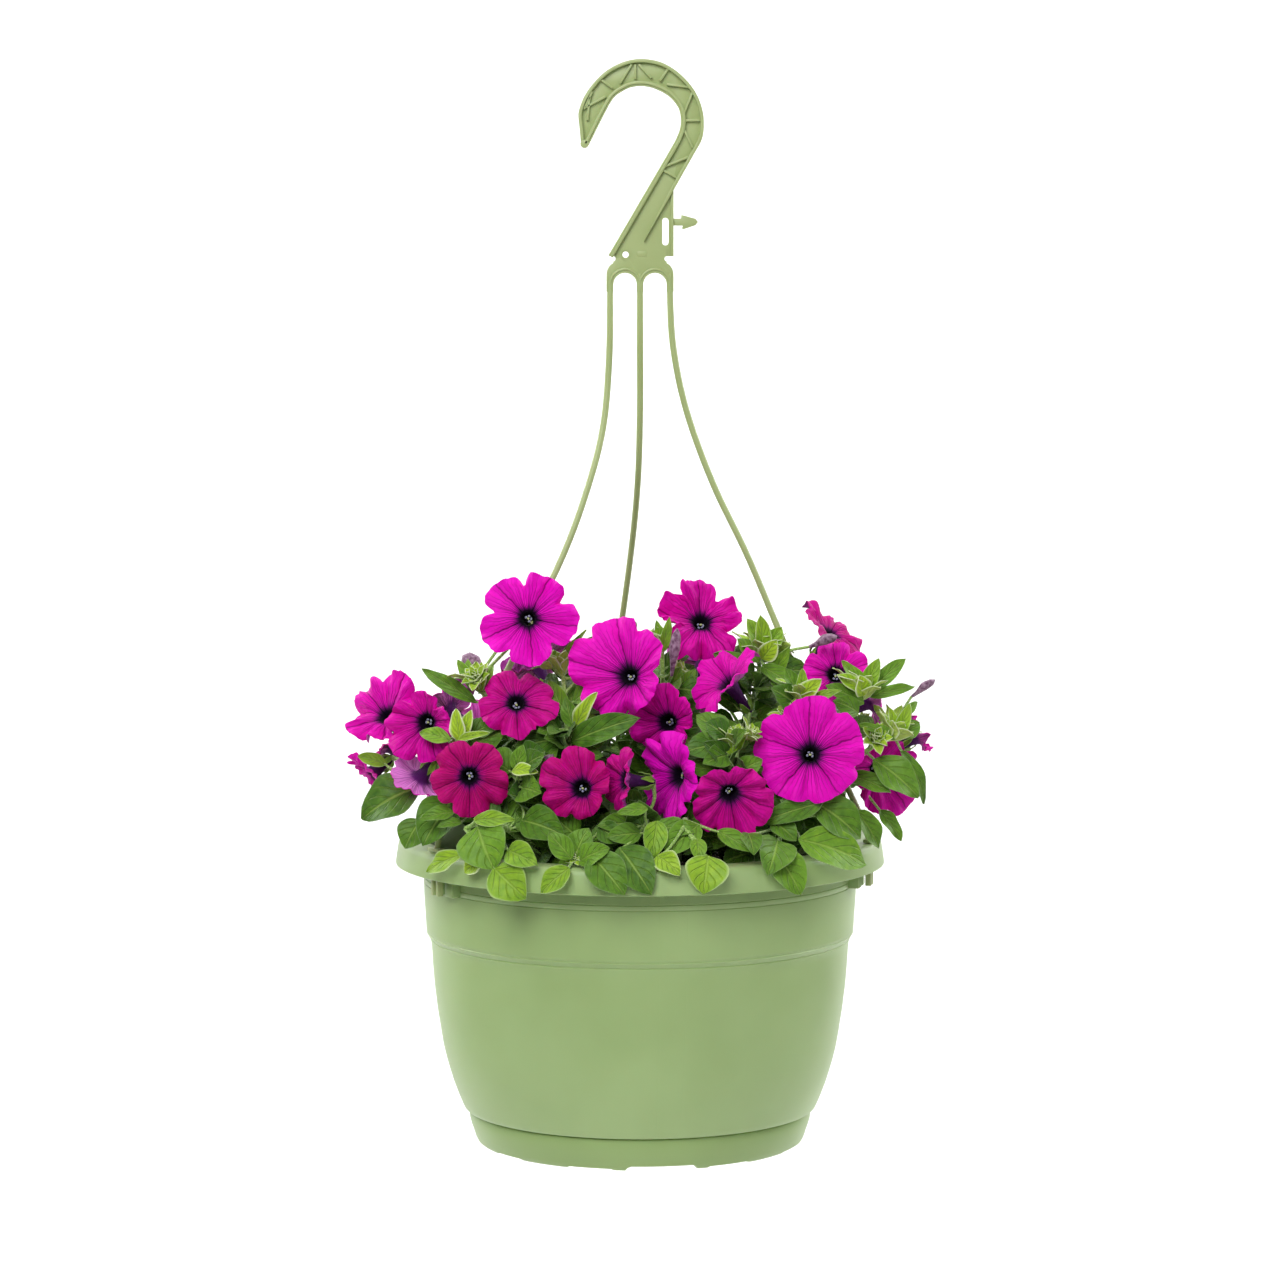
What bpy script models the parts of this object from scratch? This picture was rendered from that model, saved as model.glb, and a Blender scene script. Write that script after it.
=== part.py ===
"""A petunia hanging basket: a round moulded pot with a clip-on drip saucer, a one-piece hanger
with a hook and three arms that clip into the rim, potting soil, and trailing petunias.

Sizes in the tables are millimetres. Heights are above the plane that the saucer would stand on,
x is to the right and y to the back. at() turns them into the model's own frame, in metres, whose
origin is the hook's seat: the inside top of the hook, where it hangs.
"""

from math import cos, pi, radians, sin, sqrt

import bmesh
import bpy
from mathutils import Matrix, Vector
from mathutils.bvhtree import BVHTree

MM = 0.001
SEAT_HEIGHT = 582.0          # the hook's seat above the standing plane
GAP = 0.3                    # between pieces that touch
TURN_STEPS = 32              # facets round the pot, the saucer and the soil

# Hook
HOOK_CENTRE = (0.0, 561.4)   # of both arcs
HOOK_OUTER_RADIUS = 34.4
HOOK_INNER_RADIUS = SEAT_HEIGHT - HOOK_CENTRE[1]
FLANGE_WIDTH = 2.4
HOOK_DEPTH = 8.0             # front to back, at the flanges and ribs
WEB_THICKNESS = 2.4
RIB_WIDTH = 1.5
PLATE_RIGHT = 18.4
PLATE_FOOT = 489.4
STEM_ANGLE = radians(-29.5)  # direction that the leaning stem's outer edge faces
TIP_CENTRE = (-30.4, 550.2)
TIP_RADIUS = 2.3
TIP_ANGLE = radians(-27.0)   # direction that the tip's inner edge faces
LEG_FOOT = 470.0
LEG_WIDTH = 3.8
ARCH_RADIUS = 6.4
PIN_HOLE_RADIUS = 1.6

# Pot and saucer
DRAIN_HOLES = 4
DRAIN_RADIUS = 4.0
DRAIN_CIRCLE = 55.0          # radius on which the drain holes lie
SAUCER_PADS = 6              # ridges that the pot stands on
NOTCH_ANGLE = 7.6            # of the first of three notches in the saucer's ring, in degrees
SLOT_ANGLE = 25              # from each notch to the shallow slots beside it

# Arms and rim
ARM_RADIUS = 1.75
CLIP_RADIUS = 129.0          # from the pot's axis to the middle of a clip
CLIP_ANGLES = {"hanger_arm_left": -58.0, "hanger_arm_right": 77.0, "hanger_arm_back": 193.0}
CLIP_FOOT = 146.0
RIM_TOP = 169.3
FLANGE_UNDERSIDE = 167.2

SOIL_EDGE = (117.3, 149.0)
SOIL_BEND = (70.0, 152.5)
SOIL_CROWN = 154.5

STEM_RADIUS = 1.7
PEDICEL_RADIUS = 1.0
LEAF_THICKNESS = 1.0
PETAL_THICKNESS = 1.1


def at(x, y, height):
    """A place in the model's frame, in metres, from millimetres and a height."""
    return Vector((x, y, height - SEAT_HEIGHT)) * MM


def round_axis(radius, azimuth, height):
    """A place at an angle round the pot, in degrees from the front towards the right."""
    angle = radians(azimuth)
    return at(radius * sin(angle), -radius * cos(angle), height)


# ---------------------------------------------------------------- collections and materials

for old in list(bpy.data.objects):
    bpy.data.objects.remove(old)

basket = bpy.data.collections.new("petunia_hanging_basket")
cutters = bpy.data.collections.new("cutters")
bpy.context.scene.collection.children.link(basket)
bpy.context.scene.collection.children.link(cutters)


def material(name, colour, roughness):
    made = bpy.data.materials.new(name)
    made.use_nodes = True
    shader = made.node_tree.nodes["Principled BSDF"]
    shader.inputs["Base Color"].default_value = (*colour, 1.0)
    shader.inputs["Roughness"].default_value = roughness
    shader.inputs["Metallic"].default_value = 0.0
    return made


MATERIALS = {
    "pot_plastic": material("pot_plastic", (0.36, 0.48, 0.21), 0.45),
    "saucer_plastic": material("saucer_plastic", (0.35, 0.47, 0.20), 0.45),
    "hanger_plastic": material("hanger_plastic", (0.42, 0.51, 0.22), 0.42),
    "potting_soil": material("potting_soil", (0.03, 0.02, 0.012), 0.95),
    "petunia_leaf": material("petunia_leaf", (0.10, 0.22, 0.03), 0.55),
    "petunia_petal": material("petunia_petal", (0.68, 0.004, 0.42), 0.5),
}


def add(name, mesh, finish, collection=None):
    """A named object on a finished mesh."""
    body = bpy.data.objects.new(name, mesh)
    (collection or basket).objects.link(body)
    if finish:
        mesh.materials.append(MATERIALS[finish])
    return body


def as_cutter(body):
    """Keeps a body only to cut or join others."""
    body.hide_render = True
    body.display_type = "WIRE"
    return body


# ---------------------------------------------------------------- ways of making a shape


def turned(name, profile, finish):
    """A body turned about the pot's axis from (radius, height) points, outer side downwards."""
    shape = bmesh.new()
    corners = [shape.verts.new(at(radius, 0, height)) for radius, height in profile]
    for upper, lower in zip(corners, corners[1:]):
        shape.edges.new((upper, lower))
    mesh = bpy.data.meshes.new(name)
    shape.to_mesh(mesh)
    shape.free()
    body = add(name, mesh, finish)
    screw = body.modifiers.new("turn", "SCREW")
    screw.axis = "Z"
    screw.angle = 2 * pi
    screw.steps = TURN_STEPS
    screw.render_steps = TURN_STEPS
    screw.use_merge_vertices = True
    screw.merge_threshold = 0.00005
    screw.use_smooth_shade = True
    return body


def block(name, size, place, azimuth, collection):
    """A box of (across, out from the axis, up) millimetres, centred on a place round the pot."""
    shape = bmesh.new()
    bmesh.ops.create_cube(shape, size=MM, matrix=Matrix.Diagonal((*size, 1.0)))
    mesh = bpy.data.meshes.new(name)
    shape.to_mesh(mesh)
    shape.free()
    body = add(name, mesh, None, collection)
    body.location = place
    body.rotation_euler = (0.0, 0.0, radians(azimuth))
    return body


def drill(name, radius, length, place, collection, axis="Z"):
    """A round cutter."""
    shape = bmesh.new()
    bmesh.ops.create_cone(shape, cap_ends=True, segments=12, radius1=radius * MM,
                          radius2=radius * MM, depth=length * MM)
    mesh = bpy.data.meshes.new(name)
    shape.to_mesh(mesh)
    shape.free()
    body = add(name, mesh, None, collection)
    body.location = place
    if axis == "Y":
        body.rotation_euler = (radians(90), 0.0, 0.0)
    return as_cutter(body)


def solid_from_curve(curve, finish, collection=None):
    """The curve's closed mesh, in a new object of the same name that takes the curve's place."""
    bpy.context.view_layer.update()
    depsgraph = bpy.context.evaluated_depsgraph_get()
    mesh = bpy.data.meshes.new_from_object(curve.evaluated_get(depsgraph))
    shape = bmesh.new()
    shape.from_mesh(mesh)
    bmesh.ops.remove_doubles(shape, verts=shape.verts, dist=0.00001)
    bmesh.ops.recalc_face_normals(shape, faces=shape.faces)
    shape.to_mesh(mesh)
    shape.free()
    name = curve.name
    place = curve.matrix_world.copy()
    bpy.data.objects.remove(curve)
    body = add(name, mesh, finish, collection)
    body.matrix_world = place
    return body


def plate(name, outline, thickness, finish=None, collection=None):
    """A flat plate that stands in the hook's plane, cut to an outline of (x, height) points."""
    data = bpy.data.curves.new(name, "CURVE")
    data.dimensions = "2D"
    data.fill_mode = "BOTH"
    data.extrude = thickness / 2 * MM
    spline = data.splines.new("POLY")
    spline.points.add(len(outline) - 1)
    for point, (x, height) in zip(spline.points, outline):
        point.co = (x * MM, (height - SEAT_HEIGHT) * MM, 0.0, 1.0)
    spline.use_cyclic_u = True
    curve = bpy.data.objects.new(name, data)
    curve.rotation_euler = (radians(90), 0.0, 0.0)
    basket.objects.link(curve)
    return solid_from_curve(curve, finish, collection)


def rod(name, places, radius, sides, finish):
    """A round rod along a list of places, with closed ends. It has 4 sides or more."""
    data = bpy.data.curves.new(name, "CURVE")
    data.dimensions = "3D"
    data.bevel_depth = radius * MM
    data.bevel_resolution = (sides - 4) // 2
    data.use_fill_caps = True
    spline = data.splines.new("POLY")
    spline.points.add(len(places) - 1)
    for point, place in zip(spline.points, places):
        point.co = (*place, 1.0)
    curve = bpy.data.objects.new(name, data)
    basket.objects.link(curve)
    return solid_from_curve(curve, finish)


def lofted(name, rings, finish=None, collection=None):
    """A closed body through rings of equally many places, with a flat face on each end ring."""
    shape = bmesh.new()
    made = [[shape.verts.new(place) for place in ring] for ring in rings]
    count = len(rings[0])
    for near, far in zip(made, made[1:]):
        for k in range(count):
            after = (k + 1) % count
            shape.faces.new((near[k], near[after], far[after], far[k]))
    shape.faces.new(made[0])
    shape.faces.new(made[-1])
    bmesh.ops.recalc_face_normals(shape, faces=shape.faces)
    mesh = bpy.data.meshes.new(name)
    shape.to_mesh(mesh)
    shape.free()
    return add(name, mesh, finish, collection)


joins = []  # (body, operation, the collection of bodies joined to it or cut from it)


def combine(body, operation, name):
    """A new collection of the bodies that are to be joined to this one, or cut from it."""
    group = bpy.data.collections.new(name)
    cutters.children.link(group)
    joins.append((body, operation, group))
    return group


def carry_out_joins():
    """Adds the Boolean modifiers, once every body stands in its place."""
    for body, operation, group in joins:
        change = body.modifiers.new(group.name, "BOOLEAN")
        change.operation = operation
        change.operand_type = "COLLECTION"
        change.collection = group
        change.solver = "EXACT"


def arc(centre, radius, start, end, count):
    """Points on an arc between two angles in radians, both ends included."""
    x, height = centre
    steps = [start + (end - start) * k / count for k in range(count + 1)]
    return [(x + radius * cos(a), height + radius * sin(a)) for a in steps]


def smooth_path(points, per_span):
    """Places on a smooth curve through (x, y, height) points."""
    knots = [at(*point) for point in points]
    ends = [2 * knots[0] - knots[1], *knots, 2 * knots[-1] - knots[-2]]
    path = []
    for a, b, c, d in zip(ends, ends[1:], ends[2:], ends[3:]):
        for k in range(per_span):
            t = k / per_span
            path.append(0.5 * (2 * b + (c - a) * t + (2 * a - 5 * b + 4 * c - d) * t ** 2
                               + (3 * b - a - 3 * c + d) * t ** 3))
    return [*path, knots[-1]]


# ---------------------------------------------------------------- pot, saucer and soil


def make_pot():
    """The pot: a thin bowed wall, a flat flange and a collar that hangs from it."""
    inside = [(0, 11), (85.5, 11), (89.6, 17.4), (96.2, 20.6), (103.4, 40), (110.9, 73.8),
              (114.2, 111), (118, 141), (118.6, RIM_TOP)]
    rim = [(132.6, RIM_TOP), (133.9, 168.2), (135.4, 156.2), (134.6, 155.4), (133.4, 155.9),
           (131.9, FLANGE_UNDERSIDE), (120.6, FLANGE_UNDERSIDE), (119.9, 166)]
    outside = [(119.9, 141), (118.5, 118.2), (115.9, 111.2), (112.4, 73.8), (109.2, 53.5),
               (105.6, 40), (98.2, 19.6), (96.3, 18.4), (92.4, 18.4), (88.4, 8.6),
               (87.6, 8.2), (0, 8.2)]
    pot = turned("pot", inside + rim + outside, "pot_plastic")
    lugs = combine(pot, "UNION", "pot_lugs")
    slots = combine(pot, "DIFFERENCE", "pot_cuts")
    for arm, azimuth in CLIP_ANGLES.items():
        as_cutter(block(f"lug_of_{arm}", (9, 6.6, 9), round_axis(122.2, azimuth, 148),
                        azimuth, lugs))
        as_cutter(block(f"slot_of_{arm}", (9, 4.2, 6), round_axis(CLIP_RADIUS, azimuth, 168.4),
                        azimuth, slots))
    for k in range(DRAIN_HOLES):
        angle = 360 * (k + 0.5) / DRAIN_HOLES
        drill(f"drain_hole_{k + 1}", DRAIN_RADIUS, 8, round_axis(DRAIN_CIRCLE, angle, 9.6), slots)


def make_saucer():
    """The drip saucer under the pot, on a standing ring that is notched at the bottom."""
    saucer = turned("drip_saucer", [
        (0, 5.2), (85.5, 5.2), (91.6, 9.4), (93.2, 18.1), (95.1, 18.1), (94.6, 12.8),
        (92.6, 6.1), (91.2, 1.8), (89.6, 0), (86.4, 0), (85.0, 2.8), (0, 2.8)],
        "saucer_plastic")
    pads = combine(saucer, "UNION", "saucer_pads")
    notches = combine(saucer, "DIFFERENCE", "saucer_notches")
    for k in range(SAUCER_PADS):
        angle = 360 * (k + 0.5) / SAUCER_PADS
        as_cutter(block(f"pad_{k + 1}", (3, 30, 3.7), round_axis(64, angle, 6.05), angle, pads))
    for k in range(3):
        middle = NOTCH_ANGLE + 120 * k
        as_cutter(block(f"notch_{k + 1}", (39, 16, 4), round_axis(90, middle, 0.2), middle,
                        notches))
        for side in (-SLOT_ANGLE, SLOT_ANGLE):
            as_cutter(block(f"slot_{k + 1}_{side}", (26, 16, 2),
                            round_axis(90, middle + side, -0.1), middle + side, notches))


def make_soil():
    """Potting soil, slightly crowned, up to about two centimetres below the rim."""
    turned("potting_soil", [(0, SOIL_CROWN), SOIL_BEND, SOIL_EDGE, (117.3, 141), (113.6, 111),
                            (110.3, 73.8), (102.8, 40.4), (95.6, 21.2), (89.0, 17.9),
                            (85.0, 11.4), (0, 11.4)], "potting_soil")


# ---------------------------------------------------------------- hanger


def hook_outer(inset):
    """The hook's outer edge from the tip over the top and down the leaning stem."""
    x, height = HOOK_CENTRE
    tip = [(TIP_CENTRE[0] - TIP_RADIUS + inset, TIP_CENTRE[1])]
    over = arc(HOOK_CENTRE, HOOK_OUTER_RADIUS - inset, pi, STEM_ANGLE, 18)
    run = (PLATE_RIGHT - x - HOOK_OUTER_RADIUS * cos(STEM_ANGLE)) / sin(STEM_ANGLE)
    foot_x, foot_height = over[-1]
    return tip + over + [(foot_x + run * sin(STEM_ANGLE), foot_height - run * cos(STEM_ANGLE))]


def hook_inner(inset):
    """The hook's inner edge from the tip round the throat and down the leaning stem."""
    outward = (cos(TIP_ANGLE), sin(TIP_ANGLE))
    tip = [tuple(c + (TIP_RADIUS - inset) * o for c, o in zip(TIP_CENTRE, outward))]
    throat = arc(HOOK_CENTRE, HOOK_INNER_RADIUS + inset, pi + TIP_ANGLE, STEM_ANGLE, 14)
    start_x, start_height = throat[-1]
    run = (start_height - 490.4) / cos(STEM_ANGLE)
    return tip + throat + [(start_x + run * sin(STEM_ANGLE), start_height - run * cos(STEM_ANGLE))]


def bar_outline(start, end, width):
    """The outline of a straight bar."""
    (x0, h0), (x1, h1) = start, end
    length = sqrt((x1 - x0) ** 2 + (h1 - h0) ** 2)
    dx, dh = -(h1 - h0) / length * width / 2, (x1 - x0) / length * width / 2
    return [(x0 + dx, h0 + dh), (x1 + dx, h1 + dh), (x1 - dx, h1 - dh), (x0 - dx, h0 - dh)]


RIBS = [((-29.5, 570.5), (-19.0, 576.4)), ((-22.4, 585.6), (-14.8, 580.2)),
        ((-6.2, 593.2), (-10.8, 583.0)), ((-2.5, 593.2), (-2.5, 585.0)),
        ((0.2, 592.9), (6.4, 586.0)), ((15.5, 591.0), (10.6, 584.0)),
        ((14.0, 582.8), (28.2, 580.7)), ((29.0, 578.8), (23.6, 563.6)),
        ((22.0, 563.0), (33.0, 563.0)), ((23.4, 559.6), (29.0, 548.2)),
        ((27.0, 544.2), (13.0, 539.0)), ((11.0, 537.2), (20.0, 532.0))]

ARROW = [(17.6, 510), (22.4, 510), (22.6, 511.9), (24.2, 511.6), (30.4, 509.9), (31.8, 508.1),
         (30.4, 506.3), (24.2, 504.2), (22.8, 504.4), (23.4, 506.1), (17.6, 506.1)]


def make_hook():
    """The hook and the plate under it: a thin web with flanges and ribs raised on both sides."""
    shoulder = radians(60)
    quarter = pi / 2
    right = [(PLATE_RIGHT, PLATE_FOOT), (14.6, PLATE_FOOT),
             *arc((14.6, 488.0), 1.4, quarter, 3 * quarter, 4),
             *arc((PLATE_RIGHT - 7, 480), 7, shoulder, 0, 4),
             (PLATE_RIGHT, LEG_FOOT), (PLATE_RIGHT - LEG_WIDTH, LEG_FOOT)]
    arches = [*arc((8.2, 473.7), ARCH_RADIUS, 0, pi, 8), (1.8, LEG_FOOT), (-1.8, LEG_FOOT),
              *arc((-8.2, 473.7), ARCH_RADIUS, 0, pi, 8)]
    left = [(-PLATE_RIGHT + LEG_WIDTH, LEG_FOOT), (-PLATE_RIGHT, LEG_FOOT),
            *arc((7 - PLATE_RIGHT, 480), 7, pi, pi - shoulder, 4),
            *arc((-14.6, 488.0), 1.4, -quarter, quarter, 4), (-16.6, PLATE_FOOT)]
    tip = arc(TIP_CENTRE, TIP_RADIUS, TIP_ANGLE, -pi, 6)
    outline = hook_outer(0) + right + arches + left + hook_inner(0)[::-1] + tip[1:-1]
    hook = plate("hanger_hook", outline, WEB_THICKNESS, "hanger_plastic")
    raised = combine(hook, "UNION", "hook_ribs")
    foot = (2.6, 499.5)
    outer_band = [*hook_outer(0), foot, *hook_outer(FLANGE_WIDTH)[::-1]]
    inner_band = [*hook_inner(0), *hook_inner(FLANGE_WIDTH)[::-1]]
    for name, band in (("outer_flange", outer_band), ("inner_flange", inner_band)):
        as_cutter(plate(name, band, HOOK_DEPTH, collection=raised))
    tip_pad = arc(TIP_CENTRE, TIP_RADIUS, TIP_ANGLE, TIP_ANGLE - 2 * pi, 10)[:-1]
    as_cutter(plate("tip_pad", tip_pad, HOOK_DEPTH, collection=raised))
    edge = bar_outline((PLATE_RIGHT - 0.8, 524), (PLATE_RIGHT - 0.8, 489.6), 1.5)
    as_cutter(plate("plate_edge", edge, HOOK_DEPTH * 0.7, collection=raised))
    for k, (start, end) in enumerate(RIBS):
        as_cutter(plate(f"rib_{k + 1}", bar_outline(start, end, RIB_WIDTH), HOOK_DEPTH - 1.0,
                        collection=raised))
    as_cutter(plate("arrow_barb", ARROW, WEB_THICKNESS - 0.6, collection=raised))
    for k in (-1, 0, 1):
        as_cutter(plate(f"leg_pad_{k + 2}",
                        bar_outline((16.5 * k, 470.2), (16.5 * k, 478), LEG_WIDTH - 0.6),
                        2 * ARM_RADIUS, collection=raised))
    holes = combine(hook, "DIFFERENCE", "plate_holes")
    slot = [*arc((13.9, 508.6), 1.75, 0, pi, 6), *arc((13.9, 497.1), 1.75, pi, 2 * pi, 6)]
    as_cutter(plate("tag_slot", slot, 3 * WEB_THICKNESS, collection=holes))
    drill("pin_hole", PIN_HOLE_RADIUS, 3 * WEB_THICKNESS, at(-7.9, 0, 490.3), holes, "Y")


ARM_PATHS = {
    "hanger_arm_left": [(-16.4, 0, 469.7), (-16.9, -1.5, 434), (-20.1, -7, 397), (-28.4, -17, 364),
                        (-42.0, -29, 327), (-65, -43, 280), (-88, -56, 232), (-105, -66, 190)],
    "hanger_arm_right": [(16.4, 0, 469.7), (18.2, -0.6, 440), (25.5, -2.6, 405), (40.1, -6.5, 365),
                         (60.2, -12, 323), (84.5, -18, 265), (105, -23.5, 218), (120, -27.5, 186)],
    "hanger_arm_back": [(0, 0, 469.7), (0, 2, 440), (0, 10, 405), (-1.2, 27, 365),
                        (-5.1, 51, 323), (-13, 80, 265), (-21, 103, 218), (-27, 119, 186)],
}


def make_arm(name):
    """One arm of the hanger: a slim rod down to the rim, and a forked clip that snaps through it."""
    azimuth = CLIP_ANGLES[name]
    path = smooth_path(ARM_PATHS[name], 2) + [round_axis(CLIP_RADIUS, azimuth, 170.6)]
    arm = rod(name, path, ARM_RADIUS, 6, "hanger_plastic")
    clip = combine(arm, "UNION", f"clip_of_{name}")
    neck = 4.0
    pieces = [((12, 5.4, 2.2), 0, RIM_TOP + GAP + 1.1), ((2 * neck, 3.2, 7.6), 0, 166.4)]
    for side in (-1, 1):
        pieces.append(((2.8, 3.2, 166 - CLIP_FOOT), side * (neck - 1.4), (166 + CLIP_FOOT) / 2))
        pieces.append(((1.6, 3.2, 3), side * (neck + 0.3), 164.8))
    for k, (size, across, height) in enumerate(pieces):
        angle = radians(azimuth)
        place = round_axis(CLIP_RADIUS, azimuth, height)
        place += Vector((cos(angle), sin(angle), 0)) * across * MM
        as_cutter(block(f"clip_{k + 1}_of_{name}", size, place, azimuth, clip))


# ---------------------------------------------------------------- shoots, leaves and flowers
# Each shoot: its stem's points from the soil to its tip, then its leaves as
# (base x, y, height, tip x, y, height, width).

SHOOTS = {
    "shoot_far_left": ([(-42, -12, 157), (-80, -30, 180), (-112, -42, 200), (-136, -44, 212)], [
        (-119, -50, 203, -151, -50, 185, 24), (-138, -40, 214, -154, -35, 218, 7),
        (-118, -60, 186, -127, -64, 171, 16)]),
    "shoot_left_up": ([(-34, -26, 157), (-58, -46, 200), (-76, -62, 238), (-88, -62, 262)], [
        (-88, -62, 250, -118, -52, 267, 8), (-89, -63, 258, -98, -60, 273, 6),
        (-86, -64, 256, -85, -64, 272, 8), (-84, -62, 256, -79, -58, 270, 5),
        (-90, -61, 257, -93, -56, 273, 6)]),
    "shoot_left_front": ([(-50, -36, 157), (-74, -56, 182), (-90, -64, 205), (-98, -70, 232)], [
        (-100, -76, 200, -116, -90, 176, 22), (-99, -90, 194, -117, -95, 191, 8),
        (-95, -92, 189, -108, -96, 187, 5), (-101, -78, 232, -118, -70, 235, 8),
        (-96, -82, 231, -98, -82, 249, 8), (-95, -80, 231, -90, -80, 248, 7),
        (-90, -78, 234, -72, -76, 243, 11), (-97, -86, 233, -80, -92, 237, 4)]),
    "shoot_left_over_rim": ([(-44, -56, 157), (-66, -86, 181), (-82, -101, 190), (-93, -102, 187)], [
        (-86, -106, 189, -77, -117, 167, 25), (-88, -106, 192, -66, -112, 193, 8),
        (-70, -114, 177, -54, -128, 171, 14), (-77, -117, 168, -60, -127, 153, 20),
        (-94, -100, 173, -114, -84, 161, 10), (-84, -110, 172, -93, -107, 164, 9)]),
    "shoot_left_tip": ([(-32, -44, 157), (-52, -72, 184), (-65, -84, 203), (-64, -90, 219)], [
        (-63, -98, 191, -40, -108, 184, 19), (-68, -94, 217, -54, -102, 217, 7),
        (-66, -92, 217, -62, -96, 231, 8), (-66, -90, 203, -51, -92, 200, 7),
        (-65, -85, 206, -48, -80, 208, 8)]),
    "shoot_centre_left": ([(-22, -38, 157), (-32, -58, 195), (-38, -72, 225), (-40, -62, 248),
                           (-42, -52, 268)], [
        (-35, -76, 237, -23, -86, 258, 8), (-36, -76, 238, -40, -74, 254, 8),
        (-37, -82, 231, 0, -92, 245, 14), (-40, -74, 232, -67, -80, 228, 13),
        (-40, -66, 244, -49, -62, 262, 10), (-42, -50, 264, -33, -48, 285, 7),
        (-42, -52, 266, -29, -45, 288, 5), (-42, -52, 264, -48, -46, 277, 8)]),
    "shoot_rosette": ([(-18, -58, 157), (-28, -92, 178), (-34, -122, 174)], [
        (-36, -126, 174, -48, -124, 188, 11), (-34, -124, 175, -27, -122, 190, 13),
        (-32, -127, 173, -16, -134, 181, 12), (-37, -131, 170, -52, -132, 157, 12),
        (-26, -130, 177, -8, -141, 157, 19), (-22, -112, 189, -10, -116, 182, 12)]),
    "shoot_centre_low": ([(0, -48, 157), (0, -78, 182), (2, -104, 190), (6, -114, 186)], [
        (-11, -124, 180, 6, -138, 157, 20), (9, -116, 193, 6, -126, 174, 12),
        (-17, -106, 188, -1, -112, 179, 10), (4, -112, 200, -12, -116, 198, 6),
        (3, -104, 190, -8, -106, 184, 12)]),
    "shoot_centre_right_low": ([(20, -52, 157), (22, -82, 184), (24, -106, 192), (22, -118, 188)], [
        (31, -110, 190, 13, -124, 176, 15), (9, -127, 176, 21, -137, 167, 12),
        (36, -127, 176, 33, -136, 157, 21), (30, -120, 184, 31, -128, 173, 8),
        (41, -112, 187, 59, -120, 177, 9)]),
    "shoot_right_centre": ([(34, -38, 157), (44, -62, 190), (50, -84, 215), (50, -88, 232)], [
        (41, -90, 219, 34, -92, 230, 7), (49, -90, 225, 43, -92, 234, 4),
        (50, -90, 226, 56, -92, 235, 4), (50, -90, 228, 47, -92, 239, 4),
        (48, -76, 226, 35, -66, 230, 9), (52, -94, 216, 65, -96, 223, 11),
        (53, -74, 224, 70, -68, 240, 13)]),
    "shoot_centre_up": ([(4, -22, 157), (8, -34, 200), (12, -44, 245), (12, -42, 280)], [
        (12, -44, 278, 9, -45, 293, 5), (12, -44, 276, 16, -46, 295, 5),
        (11, -42, 276, 7, -42, 287, 4), (17, -48, 258, 22, -50, 268, 8),
        (22, -48, 255, 30, -50, 267, 7)]),
    "shoot_right_up": ([(30, -14, 157), (48, -22, 205), (62, -32, 250), (66, -38, 276)], [
        (66, -42, 275, 58, -44, 294, 10), (66, -42, 276, 65, -46, 296, 9),
        (67, -40, 275, 77, -40, 289, 10), (66, -44, 272, 74, -50, 283, 10),
        (64, -42, 270, 53, -42, 283, 9), (62, -38, 262, 40, -45, 275, 12),
        (70, -42, 262, 81, -48, 279, 7), (66, -46, 268, 85, -64, 257, 10)]),
    "shoot_right": ([(48, -32, 157), (66, -50, 195), (82, -62, 228), (87, -66, 254)], [
        (85, -68, 253, 97, -76, 264, 9), (86, -68, 254, 87, -68, 269, 6),
        (85, -66, 252, 78, -66, 269, 9), (84, -66, 249, 70, -74, 259, 13),
        (88, -70, 250, 108, -74, 258, 5)]),
    "shoot_right_far_up": ([(50, -14, 157), (84, -34, 200), (108, -52, 232), (119, -52, 254)], [
        (121, -54, 255, 109, -56, 272, 8), (121, -56, 255, 106, -60, 265, 8),
        (121, -52, 256, 129, -52, 273, 8), (120, -57, 253, 118, -64, 265, 10),
        (121, -56, 249, 100, -58, 259, 9), (118, -58, 244, 104, -62, 251, 11),
        (126, -48, 256, 144, -42, 272, 8), (124, -50, 252, 149, -45, 257, 6)]),
    "shoot_far_right": ([(58, -24, 157), (92, -38, 192), (118, -46, 218), (137, -48, 232)], [
        (139, -50, 230, 146, -50, 248, 7), (139, -50, 231, 135, -52, 246, 6),
        (140, -48, 230, 152, -42, 237, 10), (138, -52, 229, 118, -60, 238, 6),
        (140, -46, 240, 151, -38, 248, 5), (126, -60, 219, 150, -66, 199, 18),
        (114, -60, 210, 135, -68, 202, 10), (142, -40, 222, 155, -32, 191, 8),
        (130, -42, 190, 142, -45, 173, 8)]),
    "shoot_right_low": ([(60, -48, 157), (74, -78, 184), (94, -80, 192), (112, -70, 190)], [
        (116, -66, 192, 129, -62, 171, 12), (93, -84, 199, 118, -84, 179, 20),
        (97, -90, 199, 63, -98, 189, 12), (70, -94, 190, 83, -100, 180, 12),
        (84, -99, 181, 121, -84, 165, 20), (71, -110, 176, 85, -113, 153, 18),
        (73, -102, 181, 67, -123, 165, 20), (57, -112, 186, 60, -124, 176, 11)]),
    "shoot_back_left": ([(-50, 22, 157), (-92, 42, 186), (-118, 52, 222)], []),
    "shoot_back_far_left": ([(-34, 42, 157), (-54, 66, 188), (-66, 72, 216)], []),
    "shoot_back": ([(8, 52, 157), (12, 84, 196), (14, 96, 240)], []),
    "shoot_back_right": ([(36, 44, 157), (64, 74, 192), (84, 86, 226)], []),
    "shoot_back_far_right": ([(58, 16, 157), (98, 30, 190), (124, 36, 226)], []),
    "shoot_crown": ([(-6, 14, 157), (-12, 20, 220), (-14, 22, 270)], []),
}

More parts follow.
